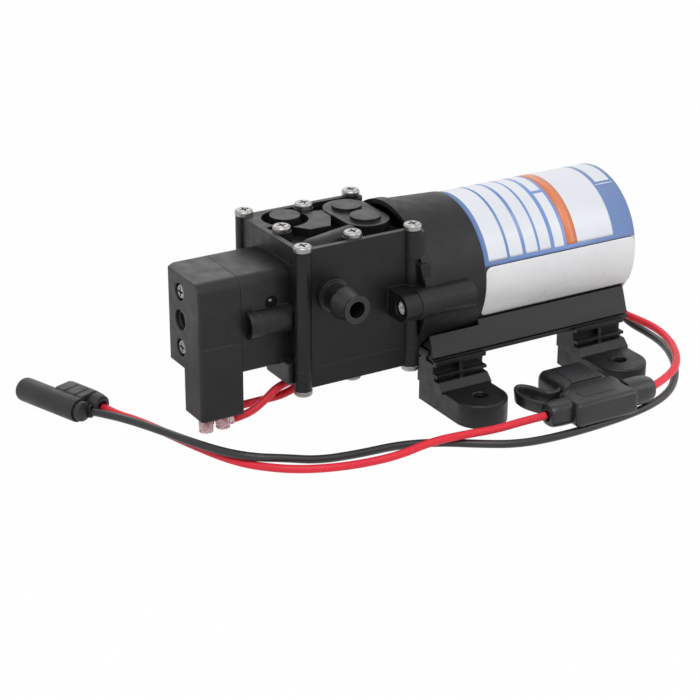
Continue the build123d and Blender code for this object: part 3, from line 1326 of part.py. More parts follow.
strap_thickness = 1.2
strap_height = 5.0
strap_bend = 4.0
strap_route = [(-11.2, -45.6), (-16.5, -41.5), (-21.6, -47.5), (-15.4, -56.2)]
with BuildPart() as fuse_strap:
    with BuildSketch(Plane.XY.offset(fuse_axis_height - strap_height / 2)):
        with BuildLine():
            FilletPolyline(*strap_route, radius=strap_bend)
        trace(line_width=strap_thickness)
    extrude(amount=strap_height)
fuse_strap.part.label = "fuse_strap"
export_step(fuse_strap.part, "parts/fuse_strap.step")

# Two-pole plug, drawn flat with local x across its wires and local y towards its mating end
plug_corner = (-144.4, 28.0, 0)
plug_turn = (0, 0, 13.9)
plug_place = Location(plug_corner, plug_turn)
barrel_radius = 3.3
shroud_pitch = 3.6
plug_length = 23.4
side_pole_x = 7.0
side_pole_radius = 3.0
side_pole_lead = 3.5
shoulder_length = 12.0
shoulder_groove_pitch = 4.6
shoulder_groove_width = 0.8
shoulder_groove_depth = 0.6
gland_radius = 2.1
gland_length = 4.0
gland_root = 1.5
gland_direction = (0.379, -0.925, 0)
gland_recess_radius = 2.8
gland_recess_depth = 1.0
contact_radius = 1.2
crimp_radius = 1.5
crimp_length = 9.0
link_length = 1.5
link_half_height = 0.8
shroud_depth = 8.0
shroud_wall = 0.9
contact_end = 20.0
pole_start = 2.6


def plug_contact_bodies(slack):
    """The two contacts inside the plug, grown by a slack when they are used as cavities."""
    with BuildPart() as contacts:
        add(rod((0, pole_start - slack, barrel_radius), backwards, contact_end - pole_start,
                contact_radius + slack))
        crimp_start = pole_start - side_pole_lead
        add(rod((side_pole_x, crimp_start - slack, barrel_radius), backwards,
                crimp_length + 2 * slack, crimp_radius + slack))
        link_start = crimp_start + crimp_length - link_length
        add(block((shroud_pitch - contact_radius - slack, link_start - slack,
                   barrel_radius - link_half_height - slack),
                  (side_pole_x, link_start + link_length + slack,
                   barrel_radius + link_half_height + slack)))
        add(rod((shroud_pitch, link_start, barrel_radius), backwards, contact_end - link_start,
                contact_radius + slack))
    return contacts.part


with BuildPart() as plug_shell:
    with BuildSketch(Plane((shroud_pitch / 2, 0, barrel_radius), x_dir=along_x, z_dir=frontwards)):
        SlotCenterToCenter(shroud_pitch, 2 * barrel_radius)
    extrude(amount=-plug_length)
    fillet(plug_shell.faces().sort_by(Axis.Y)[-1].edges(), radius=fuse_edge_round)
    add(block((shroud_pitch, 0, 0), (side_pole_x, shoulder_length, 2 * barrel_radius)))
    add(rod((side_pole_x, -side_pole_lead, barrel_radius), backwards, shoulder_length + side_pole_lead,
            side_pole_radius))
    for step in (1, 2):
        with Locations((side_pole_x / 2, step * shoulder_groove_pitch - shoulder_groove_width,
                        2 * barrel_radius)):
            Box(side_pole_x, shoulder_groove_width, 2 * shoulder_groove_depth, mode=Mode.SUBTRACT)
    add(rod((0, 0, barrel_radius), backwards, gland_recess_depth, gland_recess_radius), mode=Mode.SUBTRACT)
    add(rod((0, gland_root, barrel_radius), gland_direction, gland_length, gland_radius))
    add(plug_contact_bodies(seat_gap), mode=Mode.SUBTRACT)
    with BuildSketch(Plane((shroud_pitch / 2, plug_length, barrel_radius), x_dir=along_x,
                           z_dir=frontwards)):
        SlotCenterToCenter(shroud_pitch, 2 * (barrel_radius - shroud_wall))
    extrude(amount=shroud_depth, mode=Mode.SUBTRACT)
shell = plug_shell.part.moved(plug_place)
shell.label = "plug_shell"
export_step(shell, "parts/plug_shell.step")

contacts = plug_contact_bodies(0).moved(plug_place)
contacts.label = "plug_contacts"
export_step(contacts, "parts/plug_contacts.step")
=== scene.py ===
"""Looks for the caravan water pump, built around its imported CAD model. Metres, row frame."""
import math

import bmesh
import bpy
from mathutils import Matrix, Vector


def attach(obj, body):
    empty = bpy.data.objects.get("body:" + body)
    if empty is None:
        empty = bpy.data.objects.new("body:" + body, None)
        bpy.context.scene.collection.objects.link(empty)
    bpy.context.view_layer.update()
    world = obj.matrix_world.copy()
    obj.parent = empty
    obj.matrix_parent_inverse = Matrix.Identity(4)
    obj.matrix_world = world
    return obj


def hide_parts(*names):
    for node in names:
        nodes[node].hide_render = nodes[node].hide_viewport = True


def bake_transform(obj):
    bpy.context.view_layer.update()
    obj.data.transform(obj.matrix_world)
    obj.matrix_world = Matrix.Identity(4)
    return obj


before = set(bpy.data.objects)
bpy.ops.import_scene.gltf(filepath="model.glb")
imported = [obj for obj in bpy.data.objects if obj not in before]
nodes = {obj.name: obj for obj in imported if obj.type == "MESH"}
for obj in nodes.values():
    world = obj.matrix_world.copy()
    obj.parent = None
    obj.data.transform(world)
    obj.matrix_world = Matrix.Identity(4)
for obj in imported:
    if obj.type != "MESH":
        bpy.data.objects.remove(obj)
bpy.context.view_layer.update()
mm = 0.001

# Lengths that several forms share, in millimetres
shaft_height = 40.6
can_radius = 24.2
film_thickness = 0.05
flanks = (("front", -1), ("back", 1))

# Camera at the photograph's place
camera_place = Vector((-380.55, -541.13, 290.43)) * mm
camera_azimuth = math.radians(-30.9)
camera_elevation = math.radians(23.497)
camera_roll = math.radians(0.245)
camera_lens = 104.4

right = Vector((math.cos(camera_azimuth), math.sin(camera_azimuth), 0))
back = Vector((math.sin(camera_azimuth) * math.cos(camera_elevation),
               -math.cos(camera_azimuth) * math.cos(camera_elevation), math.sin(camera_elevation)))
above = back.cross(right)
view_x = math.cos(camera_roll) * right + math.sin(camera_roll) * above
view_y = -math.sin(camera_roll) * right + math.cos(camera_roll) * above
camera_data = bpy.data.cameras.new("photo_camera")
camera_data.lens = camera_lens
camera_data.sensor_fit = "HORIZONTAL"
camera_data.sensor_width = 36.0
camera_data.clip_start = 0.01
camera = bpy.data.objects.new("photo_camera", camera_data)
bpy.context.collection.objects.link(camera)
turn = Matrix((view_x, view_y, back)).transposed().to_4x4()
camera.matrix_world = Matrix.Translation(camera_place) @ turn
bpy.context.scene.camera = camera
bpy.context.scene.view_settings.view_transform = "Standard"


# Material helpers. Texture coordinates are the object's own, in metres, so scales are per metre.
def shader(name):
    """A new node material: (material, node tree, its principled shader)."""
    material = bpy.data.materials.new(name)
    material.use_nodes = True
    tree = material.node_tree
    return material, tree, tree.nodes["Principled BSDF"]


def place_of(tree, stretch=(1, 1, 1)):
    """The object's own coordinates, stretched."""
    coordinates = tree.nodes.new("ShaderNodeTexCoord")
    mapping = tree.nodes.new("ShaderNodeMapping")
    mapping.inputs["Scale"].default_value = stretch
    tree.links.new(coordinates.outputs["Object"], mapping.inputs["Vector"])
    return mapping.outputs["Vector"]


def noise(tree, place, scale, detail=3.0, roughness=0.55):
    """The value of a noise texture."""
    texture = tree.nodes.new("ShaderNodeTexNoise")
    texture.inputs["Scale"].default_value = scale
    texture.inputs["Detail"].default_value = detail
    texture.inputs["Roughness"].default_value = roughness
    tree.links.new(place, texture.inputs["Vector"])
    return texture.outputs["Fac"]


def spread(tree, value, low, high, source_low=0.3, source_high=0.7):
    """A value moved from one range to another."""
    ranged = tree.nodes.new("ShaderNodeMapRange")
    for socket, number in (("From Min", source_low), ("From Max", source_high),
                           ("To Min", low), ("To Max", high)):
        ranged.inputs[socket].default_value = number
    tree.links.new(value, ranged.inputs["Value"])
    return ranged.outputs["Result"]


def blend_colours(tree, value, first, second):
    """Two colours mixed by a value. Each is a plain colour or the output of another node."""
    mixer = tree.nodes.new("ShaderNodeMix")
    mixer.data_type = "RGBA"
    for socket, colour in (("A", first), ("B", second)):
        if isinstance(colour, tuple):
            mixer.inputs[socket].default_value = (*colour, 1)
        else:
            tree.links.new(colour, mixer.inputs[socket])
    tree.links.new(value, mixer.inputs["Factor"])
    return mixer.outputs["Result"]


def calculate(tree, operation, first, second):
    """A sum on two values. Each is a plain number or the output of another node."""
    sum_node = tree.nodes.new("ShaderNodeMath")
    sum_node.operation = operation
    for socket, value in zip(sum_node.inputs, (first, second)):
        if isinstance(value, float):
            socket.default_value = value
        else:
            tree.links.new(value, socket)
    return sum_node.outputs["Value"]


def relief(tree, height, strength, distance, under=None):
    """A bump over an optional normal."""
    bump = tree.nodes.new("ShaderNodeBump")
    bump.inputs["Strength"].default_value = strength
    bump.inputs["Distance"].default_value = distance
    tree.links.new(height, bump.inputs["Height"])
    if under is not None:
        tree.links.new(under, bump.inputs["Normal"])
    return bump.outputs["Normal"]


def soft_edges(tree, radius):
    """The normal with edges rounded over a small radius."""
    bevel = tree.nodes.new("ShaderNodeBevel")
    bevel.samples = 4
    bevel.inputs["Radius"].default_value = radius
    return bevel.outputs["Normal"]


def moulded(name, colour, gloss=0.4, gloss_play=0.08, grain=1500.0, grain_depth=0.02, mottle=0.25,
            mottle_scale=70.0, edge=0.35, specular=0.5, stretch=(1, 1, 1), metal=0.0, coat=0.0,
            edge_wear_and_highlight=0.0, edge_wear_and_highlight_colour=(0.12, 0.12, 0.12)):
    """A moulded, cast or drawn surface: two tones, a grain, uneven gloss, soft edges, and edges
    lightened partly by wear, partly as painted highlight.
    """
    material, tree, surface = shader(name)
    place = place_of(tree, stretch)
    tone = noise(tree, place, mottle_scale, 4.0)
    dark = tuple(part * (1 - mottle) for part in colour)
    light = tuple(min(1.0, part * (1 + mottle)) for part in colour)
    shade = blend_colours(tree, spread(tree, tone, 0, 1), dark, light)
    rounded = soft_edges(tree, edge * mm)
    # Edges lightened towards a pale colour in scuffy patches: partly wear, partly painted
    # highlight.
    if edge_wear_and_highlight:
        geometry = tree.nodes.new("ShaderNodeNewGeometry")
        difference = tree.nodes.new("ShaderNodeVectorMath")
        difference.operation = "DISTANCE"
        tree.links.new(rounded, difference.inputs[0])
        tree.links.new(geometry.outputs["Normal"], difference.inputs[1])
        edges = spread(tree, difference.outputs["Value"], 0, edge_wear_and_highlight, source_low=0.25, source_high=0.9)
        scuffs = spread(tree, noise(tree, place, 420.0, detail=5.0, roughness=0.7), 0.2, 1.0,
                        source_low=0.4, source_high=0.65)
        shade = blend_colours(tree, calculate(tree, "MULTIPLY", edges, scuffs), shade, edge_wear_and_highlight_colour)
    tree.links.new(shade, surface.inputs["Base Color"])
    gloss_noise = noise(tree, place, mottle_scale * 3.1, 3.0)
    tree.links.new(spread(tree, gloss_noise, gloss - gloss_play, gloss + gloss_play),
                   surface.inputs["Roughness"])
    fine = noise(tree, place, grain, 2.0, 0.6)
    tree.links.new(relief(tree, fine, 0.6, grain_depth * mm, rounded), surface.inputs["Normal"])
    surface.inputs["Metallic"].default_value = metal
    surface.inputs["Specular IOR Level"].default_value = specular
    surface.inputs["Coat Weight"].default_value = coat
    surface.inputs["Coat Roughness"].default_value = 0.12
    return material


looks = {
    "foot_patch": moulded("foot_patch", (0.006, 0.0062, 0.0066), 0.42, 0.12, grain=900.0,
                          grain_depth=0.04, edge=0.05, specular=0.34),
    "switch_plate": moulded("switch_plate", (0.0088, 0.009, 0.0102), 0.44, grain=1100.0,
                            grain_depth=0.03, edge=0.02, specular=0.38),
    "head_plastic": moulded("head_plastic", (0.0065, 0.0067, 0.0076), 0.42, edge_wear_and_highlight=0.5,
                            specular=0.34),
    "switch_plastic": moulded("switch_plastic", (0.0088, 0.009, 0.0102), 0.44, grain=1100.0,
                              grain_depth=0.03, edge=0.9, edge_wear_and_highlight=0.5, specular=0.38),
    "adapter_plastic": moulded("adapter_plastic", (0.0078, 0.008, 0.0088), 0.5, grain=1900.0,
                               edge_wear_and_highlight=0.35, specular=0.36),
    "spigot_plastic": moulded("spigot_plastic", (0.012, 0.012, 0.013), 0.34, edge_wear_and_highlight=0.5),
    "can_enamel": moulded("can_enamel", (0.012, 0.012, 0.013), 0.3, grain=2600.0, grain_depth=0.008,
                          coat=0.3),
    "rail_plastic": moulded("rail_plastic", (0.0095, 0.0096, 0.0112), 0.48, grain=500.0,
                            grain_depth=0.02, stretch=(0.08, 1, 1), edge_wear_and_highlight=0.35),
    "foot_rubber": moulded("foot_rubber", (0.0075, 0.0077, 0.0082), 0.42, 0.12, grain=900.0,
                           grain_depth=0.04, edge_wear_and_highlight=0.35, specular=0.38),
    "fuse_plastic": moulded("fuse_plastic", (0.0155, 0.0155, 0.0172), 0.34, grain=1300.0, edge=0.5,
                            edge_wear_and_highlight=0.3),
    "plug_plastic": moulded("plug_plastic", (0.0135, 0.0135, 0.0145), 0.48, grain=1300.0, edge=0.5,
                            edge_wear_and_highlight=0.3),
    "screw_steel": moulded("screw_steel", (0.34, 0.335, 0.325), 0.34, 0.1, grain=900.0,
                           grain_depth=0.01, mottle=0.12, mottle_scale=500.0, edge=0.2, metal=1.0),
    # A much paler copy of the screw steel for the clamp screws: painted highlight, to brighten them
    # in the shade of their deep bosses.
    "painted_highlight_clamp_steel": moulded("painted_highlight_clamp_steel", (0.9, 0.89, 0.87), 0.45, 0.1, grain=900.0,
                           grain_depth=0.01, mottle=0.12, mottle_scale=500.0, edge=0.2, metal=0.5),
    "turned_steel": moulded("turned_steel", (0.5, 0.51, 0.53), 0.32, 0.1, grain=1200.0,
                            mottle=0.15, stretch=(6, 1, 1), metal=1.0),
    "bearing_steel": moulded("bearing_steel", (0.62, 0.63, 0.65), 0.18, 0.06, metal=1.0,
                             mottle=0.1),
    "valve_rubber": moulded("valve_rubber", (0.02, 0.02, 0.02), 0.6, grain=700.0, grain_depth=0.03),
    "valve_plastic": moulded("valve_plastic", (0.62, 0.61, 0.56), 0.45, mottle=0.06),
    "ferrite": moulded("ferrite", (0.05, 0.05, 0.055), 0.7, grain=1800.0, grain_depth=0.05),
    "core_steel": moulded("core_steel", (0.24, 0.25, 0.27), 0.42, grain=2500.0, grain_depth=0.05,
                          stretch=(1, 0.05, 0.05), metal=0.9),
    "copper": moulded("copper", (0.62, 0.27, 0.12), 0.34, grain=2200.0, grain_depth=0.08,
                      stretch=(0.1, 1, 1), metal=0.9, mottle=0.2),
    "brass": moulded("brass", (0.7, 0.5, 0.2), 0.28, mottle=0.15, metal=1.0),
    "carbon": moulded("carbon", (0.02, 0.02, 0.02), 0.65),
    "ring_plastic": moulded("ring_plastic", (0.22, 0.1, 0.04), 0.5, mottle=0.3),
    "switch_red": moulded("switch_red", (0.38, 0.03, 0.025), 0.4, mottle=0.15),
    "wire_red": moulded("wire_red", (0.9, 0.036, 0.062), 0.4, 0.06, grain=1600.0, grain_depth=0.01,
                        mottle=0.1, mottle_scale=40.0, specular=0.3),
    "wire_black": moulded("wire_black", (0.02, 0.0185, 0.0195), 0.38, 0.08, grain=1600.0,
                          grain_depth=0.012, mottle=0.3, mottle_scale=60.0),
    "fuse_tan": moulded("fuse_tan", (0.55, 0.1, 0.03), 0.2, mottle=0.1),
}


def clear_sleeve():
    """Soft clear vinyl with a pink cast."""
    material, tree, surface = shader("sleeve_clear")
    place = place_of(tree)
    cloud = noise(tree, place, 160.0, 3.0)
    tint = blend_colours(tree, spread(tree, cloud, 0, 1), (0.88, 0.66, 0.68), (0.95, 0.86, 0.86))
    tree.links.new(tint, surface.inputs["Base Color"])
    surface.inputs["Transmission Weight"].default_value = 0.75
    surface.inputs["IOR"].default_value = 1.45
    tree.links.new(spread(tree, noise(tree, place, 420.0), 0.12, 0.3), surface.inputs["Roughness"])
    grain = noise(tree, place, 700.0)
    tree.links.new(relief(tree, grain, 0.5, 0.03 * mm), surface.inputs["Normal"])
    return material


looks["sleeve_clear"] = clear_sleeve()

finishes = {
    "head_plastic": "pump_body top_head bottom_head",
    "switch_plastic": "switch_housing switch_cover adjuster_screw",
    "adapter_plastic": "motor_adapter",
    "spigot_plastic": "front_spigot rear_spigot",
    "can_enamel": "motor_can",
    "rail_plastic": "mounting_rail",
    "foot_rubber": "foot_front_left foot_front_right foot_rear_left foot_rear_right fuse_strap",
    "fuse_plastic": "fuse_base fuse_cap",
    "plug_plastic": "plug_shell",
    "screw_steel": "top_screws bottom_screws cover_screws switch_screws rail_screws",
    "painted_highlight_clamp_steel": "clamp_screws",
    "turned_steel": "motor_front_plate motor_rear_cap motor_shaft eccentric pressure_spring",
    "bearing_steel": "eccentric_bearing front_bearing rear_bearing",
    "valve_rubber": "upper_valves lower_valves upper_diaphragm lower_diaphragm spigot_seals "
                    "switch_membrane",
    "valve_plastic": "upper_valve_plate lower_valve_plate yoke piston_caps sensing_piston "
                     "spring_seat",
    "ferrite": "field_magnets",
    "core_steel": "armature_core",
    "copper": "armature_winding",
    "brass": "commutator plug_contacts",
    "carbon": "carbon_brushes",
    "ring_plastic": "brush_ring",
    "switch_red": "microswitch microswitch_button",
    "sleeve_clear": "terminal_sleeves",
    "wire_red": "switch_wires red_lead_motor red_lead_plug",
    "wire_black": "black_lead",
    "fuse_tan": "blade_fuse",
}
for look, names in finishes.items():
    for name in names.split():
        for slot in nodes[name].material_slots:
            slot.material = looks[look]


def mesh_object(name, vertices, faces, material, smooth=True):
    """A new mesh object in the scene."""
    mesh = bpy.data.meshes.new(name)
    mesh.from_pydata(vertices, [], faces)
    mesh.update()
    mesh.materials.append(material)
    if smooth:
        mesh.polygons.foreach_set("use_smooth", [True] * len(mesh.polygons))
    obj = bpy.data.objects.new(name, mesh)
    bpy.context.collection.objects.link(obj)
    return obj


# Cords, on the same route points as their solids. Routes are in millimetres.
wire_radius = 1.35 * mm


def cord(name, points, material):
    """A round cord on one smooth spline through a route given in millimetres."""
    curve = bpy.data.curves.new(name, "CURVE")
    curve.dimensions = "3D"
    curve.bevel_depth = wire_radius
    curve.bevel_resolution = 6
    curve.resolution_u = 16
    spline = curve.splines.new("NURBS")
    spline.points.add(len(points) - 1)
    for point, place in zip(spline.points, points):
        point.co = (*(Vector(place) * mm), 1)
    spline.order_u = 3
    spline.use_endpoint_u = True
    curve.use_fill_caps = True
    curve.materials.append(material)
    obj = bpy.data.objects.new(name, curve)
    bpy.context.collection.objects.link(obj)
    return obj


switch_wire_routes = [
    [(-106.1, -8.0, 5.6), (-100.3, -8.0, 5.9), (-94.4, -7.8, 9.0), (-88.4, -7.4, 13.4),
     (-79.0, -7.0, 14.1), (-65.0, -6.6, 13.6), (-51.0, -6.6, 12.8), (-40.6, -6.6, 15.2)],
    [(-113.08, -5.69, 5.6), (-107.9, -1.14, 5.6), (-99.7, -0.6, 5.9), (-92.0, -2.6, 7.0),
     (-84.5, -3.1, 7.2), (-75.0, -3.2, 10.6), (-63.0, -3.3, 13.2), (-51.0, -3.3, 12.7),
     (-40.6, -3.3, 15.0)],
]
black_route = [
    (43.0, 6.0, 22.0), (50.5, 6.0, 19.5), (56.0, 5.0, 14.0), (58.2, 2.5, 7.5),
    (60.6, -3.5, 2.8), (62.8, -12.0, 1.4), (61.0, -24.0, 1.4), (54.8, -37.0, 1.4),
    (46.0, -48.3, 1.4), (35.7, -57.2, 1.4), (22.0, -62.6, 1.4), (3.0, -65.2, 1.4),
    (-17.4, -65.6, 1.4), (-31.5, -63.4, 1.4), (-42.1, -57.0, 1.4), (-52.3, -49.6, 1.4),
    (-64.6, -44.6, 1.4), (-79.0, -43.6, 1.4), (-92.6, -41.0, 1.4), (-102.9, -37.5, 3.2),
    (-112.3, -34.1, 4.4), (-118.9, -25.9, 4.5), (-124.0, -15.3, 4.5), (-128.6, -3.5, 4.5),
    (-133.0, 7.7, 4.3), (-137.3, 18.0, 3.7), (-142.3, 26.08, 3.3),
]
red_motor_route = [
    (43.0, -3.0, 22.1), (48.4, -2.6, 17.8), (51.6, -4.2, 13.0), (53.4, -8.8, 9.8),
    (55.4, -14.6, 9.2), (56.9, -21.5, 8.7), (56.4, -29.0, 8.1), (53.0, -38.5, 7.6),
    (46.0, -48.8, 7.3), (36.0, -56.4, 7.3), (25.3, -60.2, 7.2),
]
red_plug_route = [
    (-18.5, -60.4, 7.2), (-26.1, -59.1, 6.6), (-35.7, -57.3, 5.2), (-46.0, -54.2, 4.5),
    (-57.8, -53.0, 4.4), (-69.8, -53.1, 2.7), (-79.5, -50.5, 1.4), (-91.0, -48.1, 1.4),
    (-102.0, -43.3, 1.4), (-111.0, -35.5, 1.4), (-116.4, -27.5, 1.4), (-120.2, -17.5, 1.4),
    (-123.6, -6.2, 1.4), (-126.6, 5.0, 1.4), (-129.8, 13.5, 1.8), (-135.2, 20.0, 3.0),
    (-136.69, 26.0, 3.3),
]


# Helpers for forms drawn as skins through rings of points. Places are in millimetres.
def rounded_ring(axis, at, low_a, high_a, low_b, high_b, radius, steps=5):
    """A rounded rectangle across an axis (0 x, 1 y, 2 z), as a list of points."""
    radius = min(radius, (high_a - low_a) / 2, (high_b - low_b) / 2)
    points = []
    for quarter, (centre_a, centre_b) in enumerate((
            (high_a - radius, high_b - radius), (low_a + radius, high_b - radius),
            (low_a + radius, low_b + radius), (high_a - radius, low_b + radius))):
        for step in range(steps + 1):
            angle = math.radians(90 * (quarter + step / steps))
            a = centre_a + radius * math.cos(angle)
            b = centre_b + radius * math.sin(angle)
            points.append(((at, a, b), (a, at, b), (a, b, at))[axis])
    return points


def round_ring(axis, at, centre_a, centre_b, radius, steps=5):
    """A circle across an axis, as a list of points."""
    return rounded_ring(axis, at, centre_a - radius, centre_a + radius, centre_b - radius,
                        centre_b + radius, radius, steps)


def loft(name, rings, material, body, place=None, soften=0.0, hollow=False):
    """A closed skin through rings of equal point counts: its ends capped, or joined if hollow."""
    place = place or Matrix.Identity(4)
    count = len(rings[0])
    vertices = [(place @ Vector(point)) * mm for ring in rings for point in ring]
    last = (len(rings) - 1) * count
    faces = [] if hollow else [tuple(range(count)), tuple(range(last, last + count))]
    for row in range(len(rings) if hollow else len(rings) - 1):
        next_row = (row + 1) % len(rings)
        for step in range(count):
            after = (step + 1) % count
            faces.append((row * count + step, row * count + after, next_row * count + after,
                          next_row * count + step))
    obj = mesh_object(name, vertices, faces, material)
    work = bmesh.new()
    work.from_mesh(obj.data)
    bmesh.ops.remove_doubles(work, verts=work.verts, dist=0.0005 * mm)
    bmesh.ops.recalc_face_normals(work, faces=work.faces)
    work.to_mesh(obj.data)
    work.free()
    obj.data.set_sharp_from_angle(angle=math.radians(32))
    if soften:
        bevel = obj.modifiers.new("edges", "BEVEL")
        bevel.width = soften * mm
        bevel.segments = 3
        bevel.limit_method = "ANGLE"
        bevel.angle_limit = math.radians(40)
    if body:
        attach(obj, body)
    return obj


def box_ring(axis, at, sides, inset, radius):
    """A rounded rectangle inside the given sides, drawn in by an inset."""
    low_a, high_a, low_b, high_b = sides
    return rounded_ring(axis, at, low_a + inset, high_a - inset, low_b + inset, high_b - inset,
                        radius)


def box_rings(axis, sides, stations):
    """Rounded rectangles at a row of stations: place along the axis, inset and corner radius."""
    return [box_ring(axis, at, sides, inset, radius) for at, inset, radius in stations]


def end_rings(axis, face, inward, sides, rounding, radius):
    """Rings of a rounded end, from its face inwards, in the order face first."""
    rings = []
    for step in range(6):
        angle = math.radians(90 * step / 5)
        depth = rounding * (1 - math.cos(angle))
        inset = rounding * (1 - math.sin(angle))
        rings.append(box_ring(axis, face + inward * depth, sides, inset, max(radius - inset, 0.3)))
    return rings


def sleeve_rings(xs, facing, centre_y, centre_z, outer, inner, low_angle, high_angle):
    """Two rings of a sleeve along x that is open on its inner side."""
    arc = []
    for radius, angles in ((outer, range(low_angle, high_angle + 1, 12)),
                           (inner, range(high_angle, low_angle - 1, -12))):
        arc += [(facing * (centre_y + radius * math.sin(math.radians(angle))),
                 centre_z + radius * math.cos(math.radians(angle))) for angle in angles]
    return [[(x, y, z) for y, z in arc] for x in xs]


def curve_through(points, steps=6):
    """Points of a smooth curve through the given ones."""
    ends = [points[0]] + list(points) + [points[-1]]
    result = []
    for index in range(1, len(ends) - 2):
        a, b, c, d = (Vector(ends[index + shift]) for shift in (-1, 0, 1, 2))
        for step in range(steps):
            t = step / steps
            result.append(0.5 * ((2 * b) + (c - a) * t + (2 * a - 5 * b + 4 * c - d) * t ** 2
                                 + (3 * b - a - 3 * c + d) * t ** 3))
    result.append(Vector(points[-1]))
    return result


def groove_line(name, points, width, height, material, body):
    """A fine line lying level on a face."""
    vertices = []
    for index, point in enumerate(points):
        before = Vector(points[max(index - 1, 0)])
        after = Vector(points[min(index + 1, len(points) - 1)])
        side = (after - before).normalized()
        across = Vector((-side.y, side.x)) * width / 2
        for sign in (-1, 1):
            vertices.append(Vector((point[0] + sign * across.x, point[1] + sign * across.y,
                                    height)) * mm)
    faces = [(2 * i, 2 * i + 2, 2 * i + 3, 2 * i + 1) for i in range(len(points) - 1)]
    obj = mesh_object(name, vertices, faces, material, smooth=False)
    solid = obj.modifiers.new("film", "SOLIDIFY")
    solid.thickness = film_thickness * mm
    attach(obj, body)
    return obj


# Fuse holder in the lead: base with a cut rear corner and a tongue, collars, cap, fuse and strap
base_rings = end_rings(1, -67.4, 1, (-10.4, 14.9, 2.8, 11.6), 1.9, 2.2)
base_rings += [rounded_ring(1, *station) for station in (
    (-57.0, -10.4, 14.9, 2.8, 11.6, 2.2), (-55.4, -9.6, 14.9, 2.8, 11.6, 2.2),
    (-53.8, -6.8, 14.9, 2.8, 11.6, 2.2), (-53.0, -5.6, 14.7, 3.0, 11.5, 2.2),
    (-52.6, -5.3, 14.2, 3.5, 11.0, 2.0), (-52.6, -4.7, 11.9, 4.6, 9.8, 0.6),
    (-46.9, -4.7, 11.9, 4.6, 9.8, 0.6), (-46.6, -4.4, 11.6, 4.9, 9.5, 0.4))]
fuse_base = loft("fuse_base_shape", base_rings, looks["fuse_plastic"], "pump")
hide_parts("fuse_base")
for end, sides, stations in (
        ("left", (-64.5, -56.2, 2.9, 11.2),
         ((-9.4, 0.0, 2.9), (-14.0, 0.05, 2.9), (-16.8, 0.3, 2.8), (-17.6, 0.7, 2.6),
          (-17.95, 1.4, 2.2), (-17.95, 2.2, 2.0), (-16.4, 2.3, 2.0))),
        ("right", (-64.9, -55.6, 2.85, 12.0),
         ((13.6, 0.0, 3.6), (20.0, 0.05, 3.6), (23.2, 0.35, 3.6), (24.4, 0.9, 3.2),
          (24.9, 1.8, 2.6), (24.9, 2.7, 2.0), (23.4, 2.8, 2.0)))):
    loft("fuse_collar_%s" % end, box_rings(0, sides, stations),
                             looks["fuse_plastic"], "pump")
cap_sides = (-5.5, 13.3, 3.1, 11.5)
cavity_sides = (-4.9, 12.2, 4.3, 10.1)
cap_rings = box_rings(1, cavity_sides, ((-38.2, 0.0, 0.6), (-52.45, 0.0, 0.6)))
cap_rings += box_rings(1, cap_sides, ((-52.45, 0.7, 2.2), (-51.9, 0.1, 2.5), (-51.4, 0.0, 2.6)))
cap_rings += reversed(end_rings(1, -36.5, -1, cap_sides, 2.6, 2.9))
fuse_cap = loft("fuse_cap_shape", cap_rings, looks["fuse_plastic"], "cap")
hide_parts("fuse_cap")
blade_sides = (-3.2, 10.4, 6.9, 7.5)
fuse_sides = (-4.5, 11.6, 5.0, 9.4)
fuse_rings = box_rings(1, blade_sides, ((-49.5, 0.0, 0.1), (-46.5, 0.0, 0.1)))
fuse_rings += box_rings(1, fuse_sides, ((-46.5, 0.3, 0.5), (-46.1, 0.0, 0.6), (-39.6, 0.0, 0.6),
                                        (-39.1, 0.4, 0.5)))
fuse_body = loft("blade_fuse_shape", fuse_rings, looks["fuse_tan"], "pump")
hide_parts("blade_fuse")

strap_path = curve_through([(-5.1, -50.2, 8.0), (-7.6, -51.6, 8.0), (-10.3, -51.2, 8.1),
                            (-12.1, -48.4, 8.2), (-13.7, -44.8, 8.3), (-15.9, -42.4, 8.3),
                            (-18.0, -43.2, 8.2), (-19.5, -46.2, 8.1), (-19.4, -50.0, 8.0),
                            (-18.0, -53.8, 7.9), (-16.0, -57.0, 7.8), (-14.4, -58.9, 7.8)])
strap_half_thickness, strap_half_height, strap_lean = 0.75, 2.3, 0.12
strap_rings = []
for index, point in enumerate(strap_path):
    heading = strap_path[min(index + 1, len(strap_path) - 1)] - strap_path[max(index - 1, 0)]
    heading.z = 0
    heading.normalize()
    across = Vector((heading.y, -heading.x, 0))
    ring = []
    for a, b, _ in rounded_ring(2, 0, -strap_half_thickness, strap_half_thickness,
                                -strap_half_height, strap_half_height, 0.6, 3):
        ring.append(tuple(point + across * a + Vector((0, 0, b)) + across * b * strap_lean))
    strap_rings.append(ring)
fuse_strap = loft("fuse_strap_shape", strap_rings, looks["fuse_plastic"], None)
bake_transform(fuse_strap)
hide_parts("fuse_strap")
# Near-black, nearly matt film as painted shade: the dark of grooves, raised outlines and the fuse
# slit, and of the hollows in the switch bosses and round the neck screw.
painted_shade = moulded("painted_shade", (0.003, 0.003, 0.003), 0.6, edge=0.05, specular=0.15)
groove_line("fuse_cap_line", [(-0.9, -50.6), (-0.3, -41.0)], 0.45, 11.52, painted_shade, "cap")
groove_line("fuse_slit", [(-2.4, -51.9), (11.0, -51.9)], 0.8, 11.53, painted_shade, "cap")
groove_line("fuse_base_line", [(-4.4, -57.6), (-5.4, -60.6), (-4.6, -62.2), (-3.2, -62.6),
                               (8.3, -62.7)], 0.35, 11.61, painted_shade, "pump")

